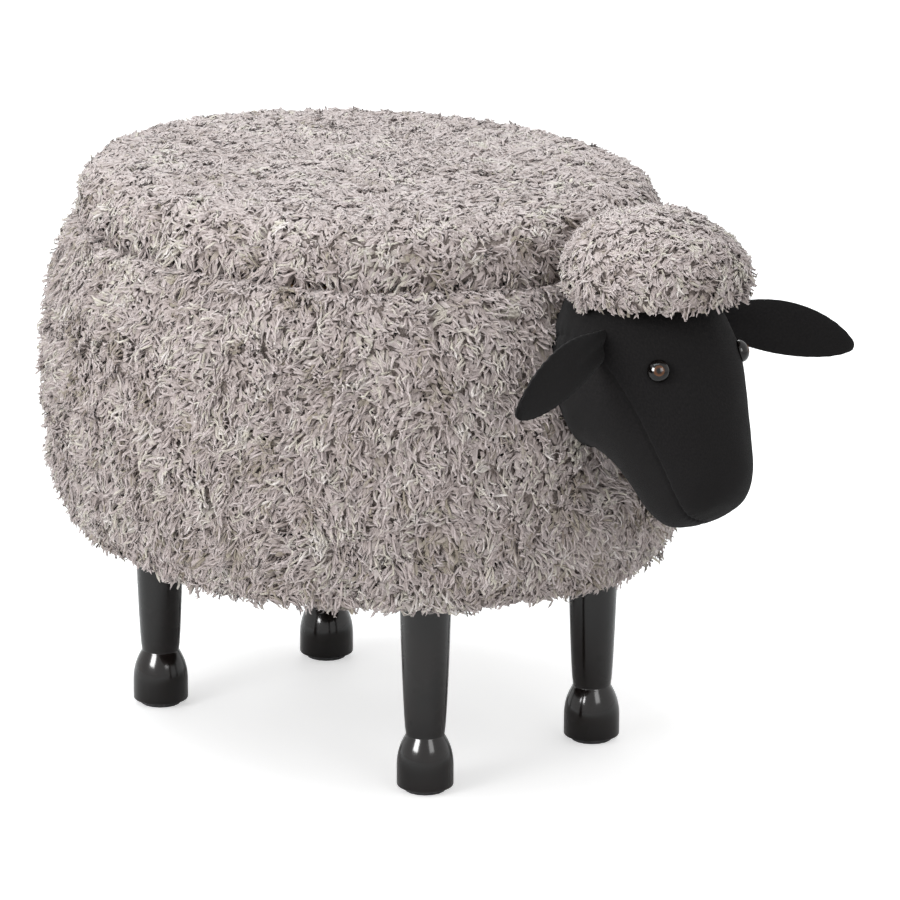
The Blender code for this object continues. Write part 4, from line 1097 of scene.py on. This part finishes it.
def plate_of_cloth(name, inset, height, body, holes=()):
    """A flat oval of cloth with round holes: a grid trimmed to them, its edge verts drawn onto them."""
    half_x, half_y = BODY_HALF.x - inset, BODY_HALF.y - inset
    shape = bmesh.new()
    flat_map = shape.loops.layers.uv.new("UVMap")
    bmesh.ops.create_grid(shape, x_segments=112, y_segments=96, size=1)
    for vert in shape.verts:
        vert.co = Vector((vert.co.x * (half_x + 0.002), vert.co.y * (half_y + 0.002), 0))

    def outside(point):
        return (abs(point.x) / half_x) ** BODY_BLUNTNESS + (abs(point.y) / half_y) ** BODY_BLUNTNESS

    def cut_away(point):
        return outside(point) > 1 or any((point.xy - Vector(place)).length < radius for place, radius in holes)

    doomed = [face for face in shape.faces if cut_away(face.calc_center_median())]
    bmesh.ops.delete(shape, geom=doomed, context="FACES")
    for vert in [vert for vert in shape.verts if vert.is_boundary]:
        near = [(place, radius) for place, radius in holes if (vert.co.xy - Vector(place)).length < radius + 0.008]
        if near:
            place, radius = near[0]
            vert.co.xy = Vector(place) + (vert.co.xy - Vector(place)).normalized() * radius
        else:
            vert.co /= outside(vert.co) ** (1 / BODY_BLUNTNESS)
    for face in shape.faces:
        for loop in face.loops:
            loop[flat_map].uv = loop.vert.co.xy
    bmesh.ops.translate(shape, verts=shape.verts, vec=(BODY_X, 0, height))
    bmesh.ops.recalc_face_normals(shape, faces=shape.faces)
    bmesh.ops.solidify(shape, geom=shape.faces[:], thickness=LINING_THICKNESS)
    # Solidify leaves the faces in another order each run.
    shape.verts.index_update()
    weights = (len(shape.verts) ** 2, len(shape.verts), 1)
    shape.faces.sort(key=lambda face: sum(vert.index * weight for vert, weight in zip(face.verts, weights)))
    sheet = piece_from(name, shape, LINING_CLOTH, body)
    return sheet


def make_well_wall():
    """The cloth round the inside of the well, hung from the rim with slight folds."""
    bottom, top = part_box("well_lining")[0].z + 0.0012, RIM_TOP
    ring = oval_ring(LINING_INSET)
    round_size = ring_length(ring)

    def point_of(turn, along):
        share = clamp(1.04 - np.abs(along - 0.5) * 2.08)
        facing = np.clip(40 * (0.5 - along), -1, 1) * clamp(40 * np.minimum(along, 1 - along))
        inner = (0.5 + 0.5 * facing) * LINING_THICKNESS
        fold = 0.0004 * np.sin(TAU * 37 * turn + 5 * np.sin(TAU * 3 * turn)) * (0.3 + 0.7 * share)
        x, y = body_oval(turn, LINING_INSET + inner + fold)
        return np.stack((BODY_X + x, y, top - share * (top - bottom)), axis=1)

    alongs = np.concatenate((np.linspace(0, 0.5, 24), np.linspace(0.5, 1, 24)[1:]))
    shape = wrapped_grid(point_of, even_steps(288), alongs, (round_size, 0.38))
    wall = piece_from("well_lining_wall", shape, LINING_CLOTH)
    return wall


def make_linings():
    wall = make_well_wall()
    floor = plate_of_cloth("well_lining_floor", LINING_INSET + 0.0002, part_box("well_lining")[0].z + 0.0006, "stool")
    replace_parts(wall, "well_lining")
    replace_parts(floor, "well_lining")
    lid_middle, lid_half = middle_and_half("lid_lining")
    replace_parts(plate_of_cloth("lid_lining_cloth", BODY_HALF.x - lid_half.x, lid_middle.z, "lid"), "lid_lining")
    cover_middle, cover_half = middle_and_half("dust_cover")
    holes = []
    for name in LEGS:
        middle, half = middle_and_half(name)
        holes.append(((middle.x - BODY_X, middle.y), half.x + 0.0006))
    cover = plate_of_cloth("dust_cover_cloth", BODY_HALF.x - cover_half.x, cover_middle.z, "stool", holes)
    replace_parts(cover, "dust_cover")


make_fleece()
make_head()
make_ears()
make_legs()
make_eyes()
make_linings()

# CAD nodes that show as they are, picked by what their names hold
for material, *kinds in (
    (FIBREBOARD, "box_wall", "base_board", "lid_board"),
    (PLYWOOD, "rim_hoop", "head_board", "lid_locating_panel"),
    (CARD, "floor_card"),
    (ZINC, "bolt", "screw", "t_nut", "head_washer"),
    (NYLON, "glide", "eye_washer"),
):
    for name in nodes:
        if any(kind in name for kind in kinds):
            nodes[name].data.materials.clear()
            nodes[name].data.materials.append(material)
